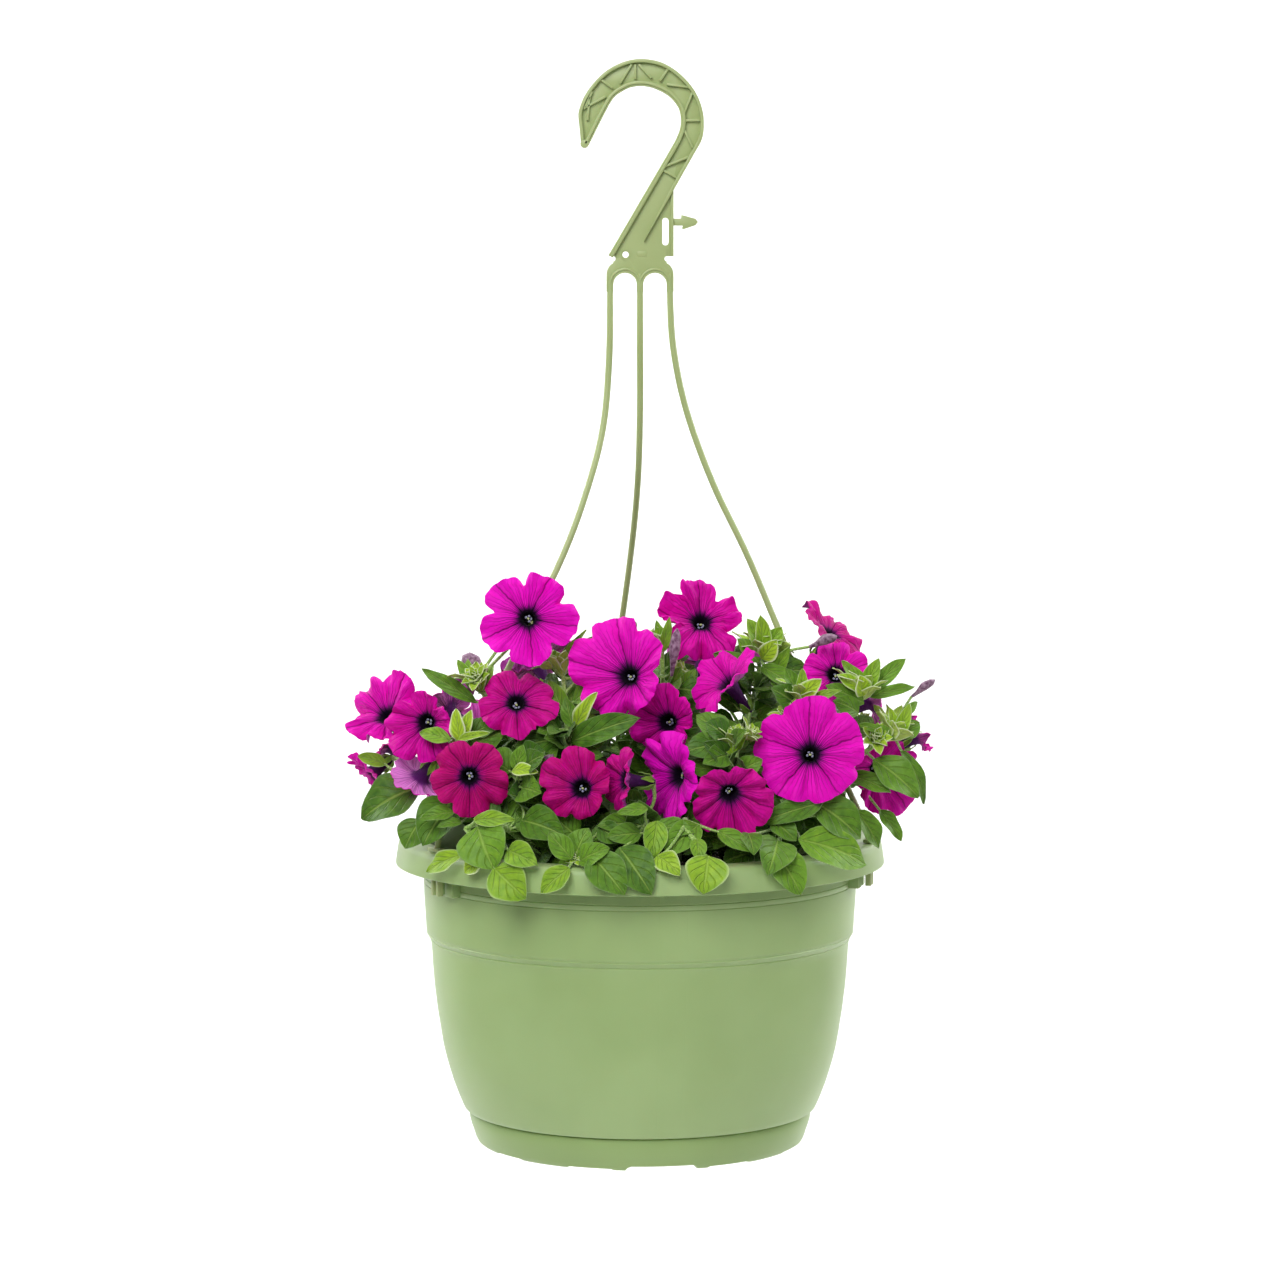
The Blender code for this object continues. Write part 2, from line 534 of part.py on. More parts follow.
# Buds: the shoot that each is on, its base, its pointed end and its width.
BUDS = [("shoot_left_tip", (-58, -88, 215), (-46, -90, 225), 5),
        ("shoot_centre_up", (17, -58, 264), (20, -61, 290), 6),
        ("shoot_right_up", (92, -38, 278), (107, -40, 284), 6),
        ("shoot_far_right", (148, -32, 250), (161, -28, 259), 5),
        ("shoot_left_up", (-84, -30, 262), (-97, -24, 272), 10)]

# Flowers: the shoot, the middle of the limb, the way it faces, its radius, and how far its
# edge stands forward of the throat.
FLOWERS = {
    "flower_top_left": ("shoot_left_up", (-60, -76, 297), (-0.05, -0.97, 0.2), 26, 3),
    "flower_left_upper": ("shoot_far_left", (-140, -45, 246), (-0.4, -0.65, 0.65), 22, 5),
    "flower_left": ("shoot_far_left", (-118, -72, 238), (-0.35, -0.92, 0.1), 20, 4),
    "flower_far_left_low": ("shoot_far_left", (-150, -20, 204), (-0.75, -0.3, -0.6), 16, 5),
    "flower_left_side": ("shoot_far_left", (-140, -2, 222), (-0.7, 0.2, 0.6), 15, 5),
    "flower_left_turned": ("shoot_left_front", (-120, -62, 207), (-0.55, 0.35, -0.75), 17, 4),
    "flower_left_front": ("shoot_left_front", (-90, -96, 213), (0, -1, 0.03), 21, 3),
    "flower_left_middle": ("shoot_left_tip", (-65, -77, 252), (0, -0.8, 0.6), 21, 4),
    "flower_behind_top_left": ("shoot_left_up", (-63, -32, 268), (0.15, 0.25, -0.95), 13, 8),
    "flower_centre_left": ("shoot_centre_left", (-12, -80, 271), (-0.35, -0.9, 0.2), 27, 4),
    "flower_centre": ("shoot_centre_low", (11, -75, 243), (-0.3, -0.95, 0), 19, 4),
    "flower_top_centre": ("shoot_right_up", (33, -35, 292), (0.1, -0.75, 0.62), 24, 6),
    "flower_centre_right": ("shoot_right_centre", (44, -72, 266), (-0.55, -0.36, 0.75), 22, 9),
    "flower_centre_low": ("shoot_centre_low", (13, -90, 212), (-0.78, -0.62, 0), 25, 8),
    "flower_front_right": ("shoot_centre_right_low", (49, -108, 201), (0.05, -0.95, -0.3), 22, 4),
    "flower_right_large": ("shoot_right", (90, -88, 227), (0, -0.95, 0.3), 29, 3),
    "flower_front_left": ("shoot_left_tip", (-35, -108, 212), (-0.15, -0.98, 0.1), 19, 3),
    "flower_front_side": ("shoot_centre_low", (-11, -110, 214), (-0.9, -0.4, 0.1), 18, 5),
    "flower_top_right": ("shoot_right_up", (107, -4, 286), (0.5, -0.25, 0.83), 21, 6),
    "flower_right_upper": ("shoot_right_far_up", (107, -38, 264), (0.1, -0.85, 0.5), 19, 4),
    "flower_far_right": ("shoot_far_right", (136, -40, 206), (0.45, -0.88, 0.05), 21, 4),
    "flower_right_tip": ("shoot_far_right", (154, -14, 228), (0.8, 0.2, 0.5), 12, 5),
    "flower_back_left": ("shoot_back_left", (-110, 32, 238), (-0.75, 0.45, 0.5), 23, 4),
    "flower_back_far_left": ("shoot_back_far_left", (-92, 98, 214), (-0.6, 0.78, 0.2), 22, 4),
    "flower_back_top_left": ("shoot_crown", (-58, 52, 264), (-0.4, 0.55, 0.72), 23, 4),
    "flower_back": ("shoot_back", (22, 108, 216), (0.1, 0.98, 0.1), 22, 4),
    "flower_back_top_right": ("shoot_back", (38, 62, 264), (0.3, 0.6, 0.72), 23, 4),
    "flower_back_right": ("shoot_back_right", (98, 70, 212), (0.7, 0.68, 0.15), 22, 4),
    "flower_back_far_right": ("shoot_back_far_right", (130, 18, 244), (0.85, 0.25, 0.45), 21, 4),
    "flower_back_low": ("shoot_back_far_left", (-50, 130, 194), (-0.25, 0.95, -0.1), 19, 4),
}

TUBE_LENGTH = 0.85           # of a flower's tube, in limb radii
TUBE_RADIUS = 2.6
STALK_OVERLAP = 1.5          # how far a stalk runs into its leaf or bud
RULE_LEAVES = 8              # on each shoot whose leaves follow the rule


def crosswise(axis):
    """Two directions at right angles to an axis and to each other, the second one upwards."""
    up = Vector((0, 0, 1)) if abs(axis.z) < 0.95 else Vector((0, 1, 0))
    side = axis.cross(up).normalized()
    return side, side.cross(axis).normalized()


def circle(centre, axis, radius, count=10, notch=1.0):
    """Places round a circle in millimetres; every other one is drawn in to the notch share."""
    side, up = crosswise(axis)
    places = []
    for k in range(count):
        angle = 2 * pi * k / count
        reach = radius * MM * (notch if k % 2 else 1.0)
        places.append(centre + (side * cos(angle) + up * sin(angle)) * reach)
    return places


def stalk_body(name, start, end, radius, collection):
    """A straight stalk with three sides."""
    axis = (end - start).normalized()
    rings = [circle(start, axis, radius, 3), circle(end, axis, radius, 3)]
    return lofted(name, rings, collection=collection)


def leaf_body(name, base, tip, width, collection):
    """A thin leaf blade, arched along its length and keeled underneath."""
    along = (tip - base).normalized()
    outward = Vector((base.x, base.y, 0)).normalized()
    face = outward + Vector((0, 0, 1))
    if base.y < 0:      # the front leaves stand steeper and turn forwards
        face = Vector((0.35 * outward.x, -0.9, 0.45))
    face = (face - face.dot(along) * along).normalized()
    side = along.cross(face)
    arch = face * (tip - base).length * 0.12
    rings = []
    for share, breadth, keel, lift in ((-0.04, 2.0, 1.3, 0), (0.3, width * 0.92, 1.5, 0.84),
                                       (0.68, width * 0.8, 1.5, 0.87), (1.0, 0.7, 0.7, 0)):
        middle = base.lerp(tip, share) + arch * lift
        half = side * breadth / 2 * MM
        depth = face * keel * LEAF_THICKNESS * MM
        rings.append([middle - half, middle + half, middle - depth])
    return lofted(name, rings, collection=collection)


def bud_body(name, base, tip, width, collection):
    """A closed bud or a wilted flower, thickest past its middle."""
    axis = (tip - base).normalized()
    rings = [circle(base, axis, 1.3, 6), circle(base.lerp(tip, 0.6), axis, width / 2, 6),
             circle(tip, axis, 0.8, 6)]
    return lofted(name, rings, collection=collection)


def flower_body(name, centre, facing, radius, cup, root):
    """A trumpet flower: a lobed limb, a throat, a slim tube and a stalk down to its root."""
    back = -facing
    thick = PETAL_THICKNESS * MM
    tube_end = centre + back * (radius * TUBE_LENGTH + cup) * MM
    bend = tube_end.lerp(root, 0.45) + back * 3 * MM
    last = (root - bend).normalized()
    rings = [
        circle(centre + back * (cup + 7) * MM, facing, 1.2),
        circle(centre + back * cup * MM, facing, 3.6),
        circle(centre, facing, radius, notch=0.88),
        circle(centre + back * thick, facing, radius, notch=0.88),
        circle(centre + back * (cup * MM + 2 * thick), facing, 5.0),
        circle(tube_end, facing, TUBE_RADIUS),
        circle(bend, (facing - last).normalized(), PEDICEL_RADIUS),
        circle(root, -last, PEDICEL_RADIUS * 0.9),
    ]
    return lofted(name, rings, "petunia_petal")


def tree_of(body, mesh=None):
    """A search tree of a body's faces as they stand in the model."""
    mesh = mesh or body.data
    places = [body.matrix_basis @ vertex.co for vertex in mesh.vertices]
    return BVHTree.FromPolygons(places, [tuple(face.vertices) for face in mesh.polygons])


def trees_of_holder():
    """Search trees of the pot, saucer, soil and hanger, with all that is joined to them."""
    bpy.context.view_layer.update()
    depsgraph = bpy.context.evaluated_depsgraph_get()
    trees = {}
    for body in basket.objects:
        parts = [body]
        for owner, operation, group in joins:
            if owner == body and operation == "UNION":
                parts += group.objects
        trees[body.name] = []
        for part in parts:
            shown = part.evaluated_get(depsgraph)
            trees[body.name].append(tree_of(part, shown.to_mesh()))
            shown.to_mesh_clear()
    return trees


def in_the_way(tree, trees, apart_from=""):
    """The names of the nodes that this tree runs into."""
    return [name for name, known in trees.items()
            if name != apart_from and any(one.overlap(tree) for one in known)]


def joint_on(path, place, towards, back=0):
    """The place on a stem from which a stalk reaches here with the least length and bend."""
    places = [a.lerp(b, k / 4) for a, b in zip(path, path[1:]) for k in range(4)] + [path[-1]]

    def strain(joint):
        stalk = place - joint
        return stalk.length * (1.3 - stalk.normalized().dot(towards))

    best = min(range(len(places) // 4, len(places)), key=lambda k: strain(places[k]))
    return places[best - back]


def leaves_by_rule(path):
    """Leaves of a shoot that spiral up its stem, larger and more drooping towards the soil."""
    leaves = []
    for k in range(RULE_LEAVES):
        share = 0.25 + 0.72 * k / (RULE_LEAVES - 1)
        place = share * (len(path) - 1)
        a, b = path[int(place)], path[min(int(place) + 1, len(path) - 1)]
        root = a.lerp(b, place - int(place))
        axis = (path[-1] - path[0]).normalized()
        side, up = crosswise(axis)
        angle = radians(137.5) * k
        away = side * cos(angle) + up * sin(angle)
        outward = Vector((root.x, root.y, 0)).normalized()
        lean = (away + outward * 0.7 + Vector((0, 0, 0.9 * share - 0.5))).normalized()
        length = (30 - 12 * share) * MM
        leaves.append((root + lean * 6 * MM, root + lean * (6 * MM + length), 19 - 9 * share))
    return leaves


def grow():
    """Stems first, then flowers, then leaves: a leaf gives way to all that is there already."""
    trees = trees_of_holder()
    paths = {}
    for name, (points, _) in SHOOTS.items():
        paths[name] = smooth_path(points, 2)
        tree = tree_of(rod(name, paths[name], STEM_RADIUS, 4, "petunia_leaf"))
        trees[name] = [tree]
    for name, (shoot, middle, facing, radius, cup) in FLOWERS.items():
        centre, ahead = at(*middle), Vector(facing).normalized()
        tail = centre - ahead * (radius * TUBE_LENGTH + cup) * MM
        joint = joint_on(paths[shoot], tail, ahead)
        gap = (STEM_RADIUS + PEDICEL_RADIUS + 2 * GAP) * MM
        for share in (1.0, 0.7, 0.45, 0.25):
            reach = max((joint - tail).length - gap, 2 * MM) * share
            root = tail + (joint - tail).normalized() * reach
            flower = flower_body(name, centre, ahead, radius, cup, root)
            tree = tree_of(flower)
            if share == 0.25 or not in_the_way(tree, trees):
                break
            bpy.data.objects.remove(flower)
        trees[name] = [tree]
    for name, (_, rows) in SHOOTS.items():
        leaves = combine(basket.objects[name], "UNION", f"leaves_of_{name}")
        blades = [(at(*row[:3]), at(*row[3:6]), row[6]) for row in rows]
        blades += leaves_by_rule(paths[name]) if not rows else []
        growth = [("leaf", *blade) for blade in blades]
        growth += [("bud", at(*base), at(*tip), width)
                   for shoot, base, tip, width in BUDS if shoot == name]
        for k, (kind, base, tip, width) in enumerate(growth):
            ahead = (tip - base).normalized()
            start = joint_on(paths[name], base, ahead, k % 3)
            inside = base + ahead * STALK_OVERLAP * MM
            stalk = stalk_body(f"stalk_{k + 1}_of_{name}", start, inside, 0.9, leaves)
            grown = bud_body if kind == "bud" else leaf_body
            for share in (1.0, 0.85, 0.7, 0.55, 0.4):
                body = grown(f"{kind}_{k + 1}_of_{name}", base, base.lerp(tip, share),
                             width * (0.5 + 0.5 * share), leaves)
                found = [tree_of(body), tree_of(stalk)]
                if not any(in_the_way(tree, trees, name) for tree in found):
                    trees[name] += found
                    as_cutter(body)
                    as_cutter(stalk)
                    break
                bpy.data.objects.remove(body)
            else:
                bpy.data.objects.remove(stalk)


make_pot()
make_saucer()
make_soil()
make_hook()
for arm_name in CLIP_ANGLES:
    make_arm(arm_name)
grow()
carry_out_joins()
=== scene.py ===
from functools import partial
from math import atan2, cos, degrees, exp, pi, radians, sin, sqrt
from random import Random

import bmesh
import bpy
from mathutils import Matrix, Vector, noise
from mathutils.bvhtree import BVHTree


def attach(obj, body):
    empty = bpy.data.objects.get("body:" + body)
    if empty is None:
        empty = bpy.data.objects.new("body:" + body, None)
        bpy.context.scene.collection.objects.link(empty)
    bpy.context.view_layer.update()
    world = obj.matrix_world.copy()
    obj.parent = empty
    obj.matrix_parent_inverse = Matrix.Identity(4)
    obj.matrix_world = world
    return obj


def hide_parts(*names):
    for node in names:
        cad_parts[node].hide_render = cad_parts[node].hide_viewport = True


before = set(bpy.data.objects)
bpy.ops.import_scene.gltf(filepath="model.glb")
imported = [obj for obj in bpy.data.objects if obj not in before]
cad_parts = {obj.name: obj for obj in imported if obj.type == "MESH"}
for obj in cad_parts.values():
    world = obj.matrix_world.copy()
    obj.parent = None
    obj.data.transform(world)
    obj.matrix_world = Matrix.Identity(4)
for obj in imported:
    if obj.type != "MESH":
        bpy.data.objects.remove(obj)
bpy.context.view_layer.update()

MM = 0.001
SEAT_HEIGHT = 582.0          # the hook's seat, the frame's origin, above the saucer's foot
UP = Vector((0, 0, 1))
STEPS = 360
CLIP_RADIUS = 129.0
CLIP_ANGLES = (-58.0, 77.0, 193.0)
SEAMS = (5.1, 12.3)          # azimuths of the two mould seams in the pot's collar, in degrees
SEAM_STEP = 0.7              # how far in the collar stands between them
SKIRT_REACH = 131            # the collar's skirt is what lies beyond this, under the flange
FLANGE_LEVEL = 168
NOTCH_TURN = 7.6             # azimuth of the first notch in the saucer's standing ring
RING_REACH = 85.6            # the standing ring is what lies beyond this, under this level
RING_LEVEL = 2.75
CRUMB = 1.5                  # how high the soil's lumps stand
WEB = 2.2                    # thickness of the hook's plate
FLANGE_DEPTH = 8.0           # how deep its flanges are, from front to back
LEAF_SHEET = 0.35            # thickness of a leaf
PETAL_SHEET = 0.3            # and of a petal
THROAT = 4.0                 # radius of a flower's throat at its mouth
TUBE_LENGTH = 0.85           # of the tube behind it, as a share of the limb's radius
WALL_REACH = 110             # how far from the axis an inner leaf may come low down
RIM_REACH = 122              # and how far above the rim
ABOVE_RIM = 182
LOWEST_LEAF = 157            # no leaf that follows a rule lies lower
GOLDEN_ANGLE = radians(137.5)
LOBE = 2 * pi / 5            # a flower's five lobes share one turn


def at(x, y, height):
    """A place in the frame, from millimetres and a height above the saucer's foot."""
    return Vector((x, y, height - SEAT_HEIGHT)) * MM


def level(height):
    """How high in the frame something this far above the saucer's foot is."""
    return (height - SEAT_HEIGHT) * MM


def round_axis(radius, azimuth, height):
    """A place round the pot, its angle in degrees from the front towards the right."""
    angle = radians(azimuth)
    return at(radius * sin(angle), -radius * cos(angle), height)


def from_axis(place):
    """How far a place is from the pot's axis, and its angle from the front, in degrees."""
    return sqrt(place.x ** 2 + place.y ** 2) / MM, degrees(atan2(place.x, -place.y))


# ------------------------------------------------------------------ materials


def linear(colour):
    """An sRGB hex colour as linear RGBA."""
    channels = [int(colour[k:k + 2], 16) / 255 for k in (1, 3, 5)]
    return (*(c / 12.92 if c <= 0.04045 else ((c + 0.055) / 1.055) ** 2.4 for c in channels), 1.0)


def add(tree, kind, *values, sockets=None, stops=None, **settings):
    """Adds a node. Values fill its inputs in order, sockets fill them by number, and a setting
    with a capital fills one by name. Each is a value, or a node or socket to link from."""
    made = tree.nodes.new("ShaderNode" + kind)
    filled = {**dict(enumerate(values)), **(sockets or {})}
    for name, value in settings.items():
        if name[0].isupper():
            filled[name] = value
        else:
            setattr(made, name, value)
    if stops:
        ramp = made.color_ramp
        while len(ramp.elements) < len(stops):
            ramp.elements.new(0.5)
        for element, (place, colour) in zip(ramp.elements, stops):
            element.position = place
            element.color = linear(colour)
    for key, value in filled.items():
        if isinstance(value, bpy.types.Node):
            value = value.outputs[0]
        if isinstance(value, bpy.types.NodeSocket):
            tree.links.new(value, made.inputs[key])
        else:
            made.inputs[key].default_value = value
    return made


def new_material(name, roughness, **sockets):
    """A material with its shader's even values set, and what adds nodes to it."""
    made = bpy.data.materials.new(name)
    made.use_nodes = True
    shader = made.node_tree.nodes["Principled BSDF"]
    for socket, value in {"Roughness": roughness, **sockets}.items():
        shader.inputs[socket.replace("_", " ")].default_value = value
    return made, partial(add, made.node_tree)


def finish_material(made, colour, height, strength, distance):
    """Gives a material its colour, and its relief with a depth in metres."""
    tree = made.node_tree
    shader = tree.nodes["Principled BSDF"]
    bump = add(tree, "Bump", Height=height, Strength=strength, Distance=distance)
    tree.links.new(colour, shader.inputs["Base Color"])
    tree.links.new(bump.outputs[0], shader.inputs["Normal"])
    return made


def moulded_polypropylene(name, light, dark, roughness, seams=False):
    """Injection-moulded polypropylene: satin, slightly milky, with faint flow clouding."""
    made, node = new_material(name, roughness, IOR=1.49, Subsurface_Weight=0.08,
                              Subsurface_Scale=0.0015)
    place = node("TexCoord").outputs["Object"]
    # Clouding about 60 mm across, as where the melt flowed.
    cloud = node("TexNoise", Vector=place, Scale=16.0, Detail=2.0)
    tone = node("ValToRGB", cloud, stops=[(0.35, dark), (0.65, light)])
    # Mould texture 0.5 mm across, coarser than the real one so that it shows.
    height = node("TexNoise", Vector=place, Scale=2000.0, Detail=1.0)
    if seams:
        x, y, _ = node("SeparateXYZ", place).outputs
        forward = node("Math", y, -1.0, operation="MULTIPLY")
        angle = node("Math", x, forward, operation="ARCTAN2")
        # Two vertical seams, either side of the collar's tab.
        for seam in SEAMS:
            off = node("Math", angle, radians(seam), operation="SUBTRACT")
            near = node("Math", off, operation="ABSOLUTE")
            line = node("MapRange", near, 0.001, 0.003, -8.0, 0.0)
            height = node("Math", height, line, operation="ADD")
    return finish_material(made, tone.outputs[0], height, 0.10, 0.00012)


def moist_peat():
    """Peat-based potting soil: near black, fibrous, matt, with pale flecks of perlite."""
    made, node = new_material("moist_peat", 0.95)
    place = node("TexCoord").outputs["Object"]
    fibre = node("TexNoise", Vector=place, Scale=420.0, Detail=6.0)
    tone = node("ValToRGB", fibre, stops=[(0.35, "#0e0a07"), (0.55, "#2a1c12"), (0.72, "#4a3523")])
    grit = node("TexVoronoi", Vector=place, Scale=210.0, Randomness=1.0)
    fleck = node("MapRange", grit, 0.10, 0.14, 1.0, 0.0)
    mixed = node("Mix", sockets={0: fleck, 6: tone, 7: linear("#8f8878")}, data_type="RGBA")
    return finish_material(made, mixed.outputs[2], fibre, 0.9, 0.002)


def hairy_leaf(name, mature, middle, young, vein, rim, roughness):
    """A petunia leaf: softly hairy, so it has a matt bloom, a pale edge and sunken veins.
    The attribute "blade" holds (across from -1 to 1, along from 0 to 1, age from 0 old to 1)."""
    made, node = new_material(name, roughness, Sheen_Weight=0.08, Sheen_Roughness=0.5,
                              Specular_IOR_Level=0.3)
    place = node("TexCoord").outputs["Object"]
    blade = node("Attribute", attribute_name="blade").outputs["Vector"]
    across, along, age = node("SeparateXYZ", blade).outputs
    side = node("Math", across, operation="ABSOLUTE")
    # Mottling about 4 mm across.
    mottle = node("TexNoise", Vector=place, Scale=260.0, Detail=4.0)
    shifted = node("Math", mottle, 0.55, age, operation="MULTIPLY_ADD")
    shifted = node("Math", shifted, 0.27, operation="SUBTRACT")
    tone = node("ValToRGB", shifted, stops=[(0.0, mature), (0.45, middle), (1.0, young)])
    # Side veins: four pairs that slant towards the tip and show less than the midrib.
    rise = node("Math", along, 4.6, operation="MULTIPLY")
    slant = node("Math", side, -2.2, rise, operation="MULTIPLY_ADD")
    wave = node("Math", slant, 0.5, operation="PINGPONG")
    branch = node("MapRange", wave, 0.0, 0.12, 1.0, 0.0)
    fade = node("MapRange", side, 0.55, 0.95, 1.0, 0.0)
    branch = node("Math", branch, fade, operation="MULTIPLY")
    midrib = node("MapRange", side, 0.03, 0.10, 1.0, 0.0)
    veins = node("Math", branch, midrib, operation="MAXIMUM")
    faint = node("Math", branch, 0.5, operation="MULTIPLY")
    faint = node("Math", faint, midrib, operation="MAXIMUM")
    faint = node("Math", faint, 0.42, operation="MULTIPLY")
    veined = node("Mix", sockets={0: faint, 6: tone, 7: linear(vein)}, data_type="RGBA").outputs[2]
    # The hairs show as a white margin, wide on the newest leaves and a thread on the oldest.
    start = node("MapRange", age, 0.5, 1.0, 0.94, 0.70)
    hairs = node("MapRange", side, start, 1.02, 0.0, 1.0)
    downy = node("MapRange", age, 0.5, 1.0, 0.12, 0.85)
    hairs = node("Math", hairs, downy, operation="MULTIPLY")
    edged = node("Mix", sockets={0: hairs, 6: veined, 7: linear(rim)}, data_type="RGBA")
    sunken = node("Math", veins, -1.0, mottle, operation="MULTIPLY_ADD")
    return finish_material(made, edged.outputs[2], sunken, 0.8, 0.0007)


def velvet_petal(name, colours, vein, main_strength, fine_strength, throat):
    """A petunia petal: velvety, with five main veins and many fine ones that run out from the
    throat. The attribute "petal" holds (x, y, tone): the flat place in limb radii, and a tone
    from 0 violet-pink to 1 crimson."""
    made, node = new_material(name, 0.55, Sheen_Weight=0.02, Sheen_Roughness=0.4,
                              Specular_IOR_Level=0.12)
    place = node("TexCoord").outputs["Object"]
    petal = node("Attribute", attribute_name="petal").outputs["Vector"]
    x, y, tone = node("SeparateXYZ", petal).outputs
    flat = node("CombineXYZ", x, y)
    out = node("VectorMath", flat, operation="LENGTH").outputs["Value"]
    angle = node("Math", x, y, operation="ARCTAN2")
    # The veins wander by a few degrees; the noise's middle, 0.5, leaves them where they are.
    wander = node("TexNoise", Vector=place, Scale=150.0, Detail=2.0)
    stray = node("Math", wander, 0.5, operation="SUBTRACT")
    bent = node("Math", stray, 0.17, angle, operation="MULTIPLY_ADD")

    def radiating(turns, width):
        """Lines of one real width that run out from the middle, this many in a whole turn."""
        swing = node("Math", bent, turns / 2, operation="MULTIPLY")
        sine = node("Math", swing, operation="SINE")
        near = node("Math", sine, operation="ABSOLUTE")
        away = node("Math", near, out, operation="MULTIPLY")
        return node("MapRange", away, 0.0, width * turns / 2, 1.0, 0.0)

    fade = node("MapRange", out, 0.25, 0.95, 1.0, 0.2)
    thin = node("MapRange", out, 0.3, 1.0, main_strength, main_strength * 0.6)
    veins = node("Math", radiating(5, 0.026), thin, operation="MULTIPLY")
    for turns, width, strength in ((55, 0.012, fine_strength), (15, 0.016, main_strength * 0.55)):
        lines = node("Math", radiating(turns, width), strength, operation="MULTIPLY")
        lines = node("Math", lines, fade, operation="MULTIPLY")
        veins = node("Math", veins, lines, operation="MAXIMUM")
    mottle = node("TexNoise", Vector=place, Scale=300.0, Detail=3.0)
    shade = node("Math", mottle, 0.5, tone, operation="MULTIPLY_ADD")
    shade = node("Math", shade, 0.25, operation="SUBTRACT")
    body = node("ValToRGB", shade, stops=list(zip((0.0, 0.5, 1.0), colours)))
    # A soft band of deeper colour lies along each main vein and fades outwards.
    ebb = node("MapRange", out, 0.2, 0.95, 0.42, 0.04)
    band = node("Math", radiating(5, 0.13), ebb, operation="MULTIPLY")
    veins = node("Math", veins, band, operation="MAXIMUM")
    veined = node("Mix", sockets={0: veins, 6: body, 7: linear(vein)}, data_type="RGBA").outputs[2]
    # The eye: its edge is broken by the veins.
    reach = node("Math", veins, -0.2, out, operation="MULTIPLY_ADD")
    eye = node("ValToRGB", reach, stops=throat)
    eye.color_ramp.interpolation = "EASE"
    share = node("MapRange", reach, 0.14, 0.40, 1.0, 0.0, interpolation_type="SMOOTHSTEP")
    mixed = node("Mix", sockets={0: share, 6: veined, 7: eye}, data_type="RGBA")
    crease = node("Math", veins, -1.0, mottle, operation="MULTIPLY_ADD")
    return finish_material(made, mixed.outputs[2], crease, 0.8, 0.0007)


def soft_matter(name, stops, scale, roughness, sheen=0.2, detail=3.0):
    """Small soft plant parts, unevenly coloured."""
    made, node = new_material(name, roughness, Sheen_Weight=sheen)
    place = node("TexCoord").outputs["Object"]
    patch = node("TexNoise", Vector=place, Scale=scale, Detail=detail)
    tone = node("ValToRGB", patch, stops=stops)
    return finish_material(made, tone.outputs[0], patch, 0.4, 0.0004)


POT = moulded_polypropylene("satin_polypropylene_pot", "#a5bf80", "#9db777", 0.42, seams=True)
SAUCER = moulded_polypropylene("satin_polypropylene_saucer", "#9bb673", "#94af6d", 0.42)
HANGER = moulded_polypropylene("satin_polypropylene_hanger", "#adbc80", "#a5b478", 0.4)
PEAT = moist_peat()
LEAF_TOP = hairy_leaf("hairy_leaf_top", "#3a6412", "#6e9c26", "#aed22e", "#a4c458", "#f4f8dc", 0.5)
LEAF_BACK = hairy_leaf("hairy_leaf_underside", "#6a9046", "#92b658", "#c8e066", "#c2d692",
                       "#f4f8e0", 0.62)
PETAL = velvet_petal("velvet_petal_upper", ("#ee06c8", "#dc03a6", "#ba036e"), "#38002e", 1.0, 0.75,
                     [(0.0, "#0a0210"), (0.14, "#16031f"), (0.21, "#4a0656"), (0.32, "#a4058a")])
PETAL_BACK = velvet_petal("velvet_petal_underside", ("#ee88e2", "#da5cc6", "#9c2e92"), "#5a1064",
                          0.8, 0.9, [(0.0, "#4a1858"), (0.2, "#6a2078"), (0.3, "#9a3aa0"),
                                     (0.44, "#c04cb4")])
# Short pale hairs lighten a stem unevenly.
STEM = soft_matter("hairy_stem", [(0.3, "#6f9a38"), (0.55, "#9abf5a"), (0.75, "#d2e2a8")],
                   900.0, 0.6, sheen=0.5, detail=2.0)
# Dusty with pollen, waxy and wet, and dry and shrunken.
ANTHER = soft_matter("mealy_anther", [(0.35, "#62628c"), (0.7, "#c2c2d8")], 1500.0, 0.7)
STIGMA = soft_matter("waxy_stigma", [(0.35, "#9aa860"), (0.7, "#d8dca0")], 1500.0, 0.4)
WILTED = soft_matter("wilted_petal", [(0.35, "#5a3050"), (0.7, "#a888a0")], 500.0, 0.7)


# ------------------------------------------------------------------ pieces in general


def as_object(name, bm):
    """An object made from mesh data, which is used up."""
    made = bpy.data.objects.new(name, bpy.data.meshes.new(name))
    bm.to_mesh(made.data)
    bm.free()
    bpy.context.scene.collection.objects.link(made)
    return made


def finish_piece(name, bm, materials, replaced, sharp):
    """Makes a piece from its mesh data, rides it on the body and hides the CAD it stands for."""
    piece = as_object(name, bm)
    for one in materials:
        piece.data.materials.append(one)
    piece.data.shade_smooth()
    piece.data.set_sharp_from_angle(angle=radians(sharp))
    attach(piece, "root")
    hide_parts(*replaced)
    return piece


def thicken(bm, faces, thickness):
    """Gives a sheet its thickness, and its underside the second material."""
    for made in bmesh.ops.solidify(bm, geom=faces, thickness=thickness * MM)["geom"]:
        if isinstance(made, bmesh.types.BMFace):
            made.material_index = 1


def turned(bm, profile, steps):
    """A shell turned about the pot's axis from (radius, height) points."""
    corners = [bm.verts.new(at(radius, 0, height)) for radius, height in profile]
    edges = [bm.edges.new(pair) for pair in zip(corners, corners[1:])]
    bmesh.ops.spin(bm, geom=corners + edges, cent=(0, 0, 0), axis=(0, 0, 1), angle=2 * pi,
                   steps=steps, use_merge=True)
    bmesh.ops.remove_doubles(bm, verts=bm.verts, dist=0.00001)
    bmesh.ops.recalc_face_normals(bm, faces=bm.faces)


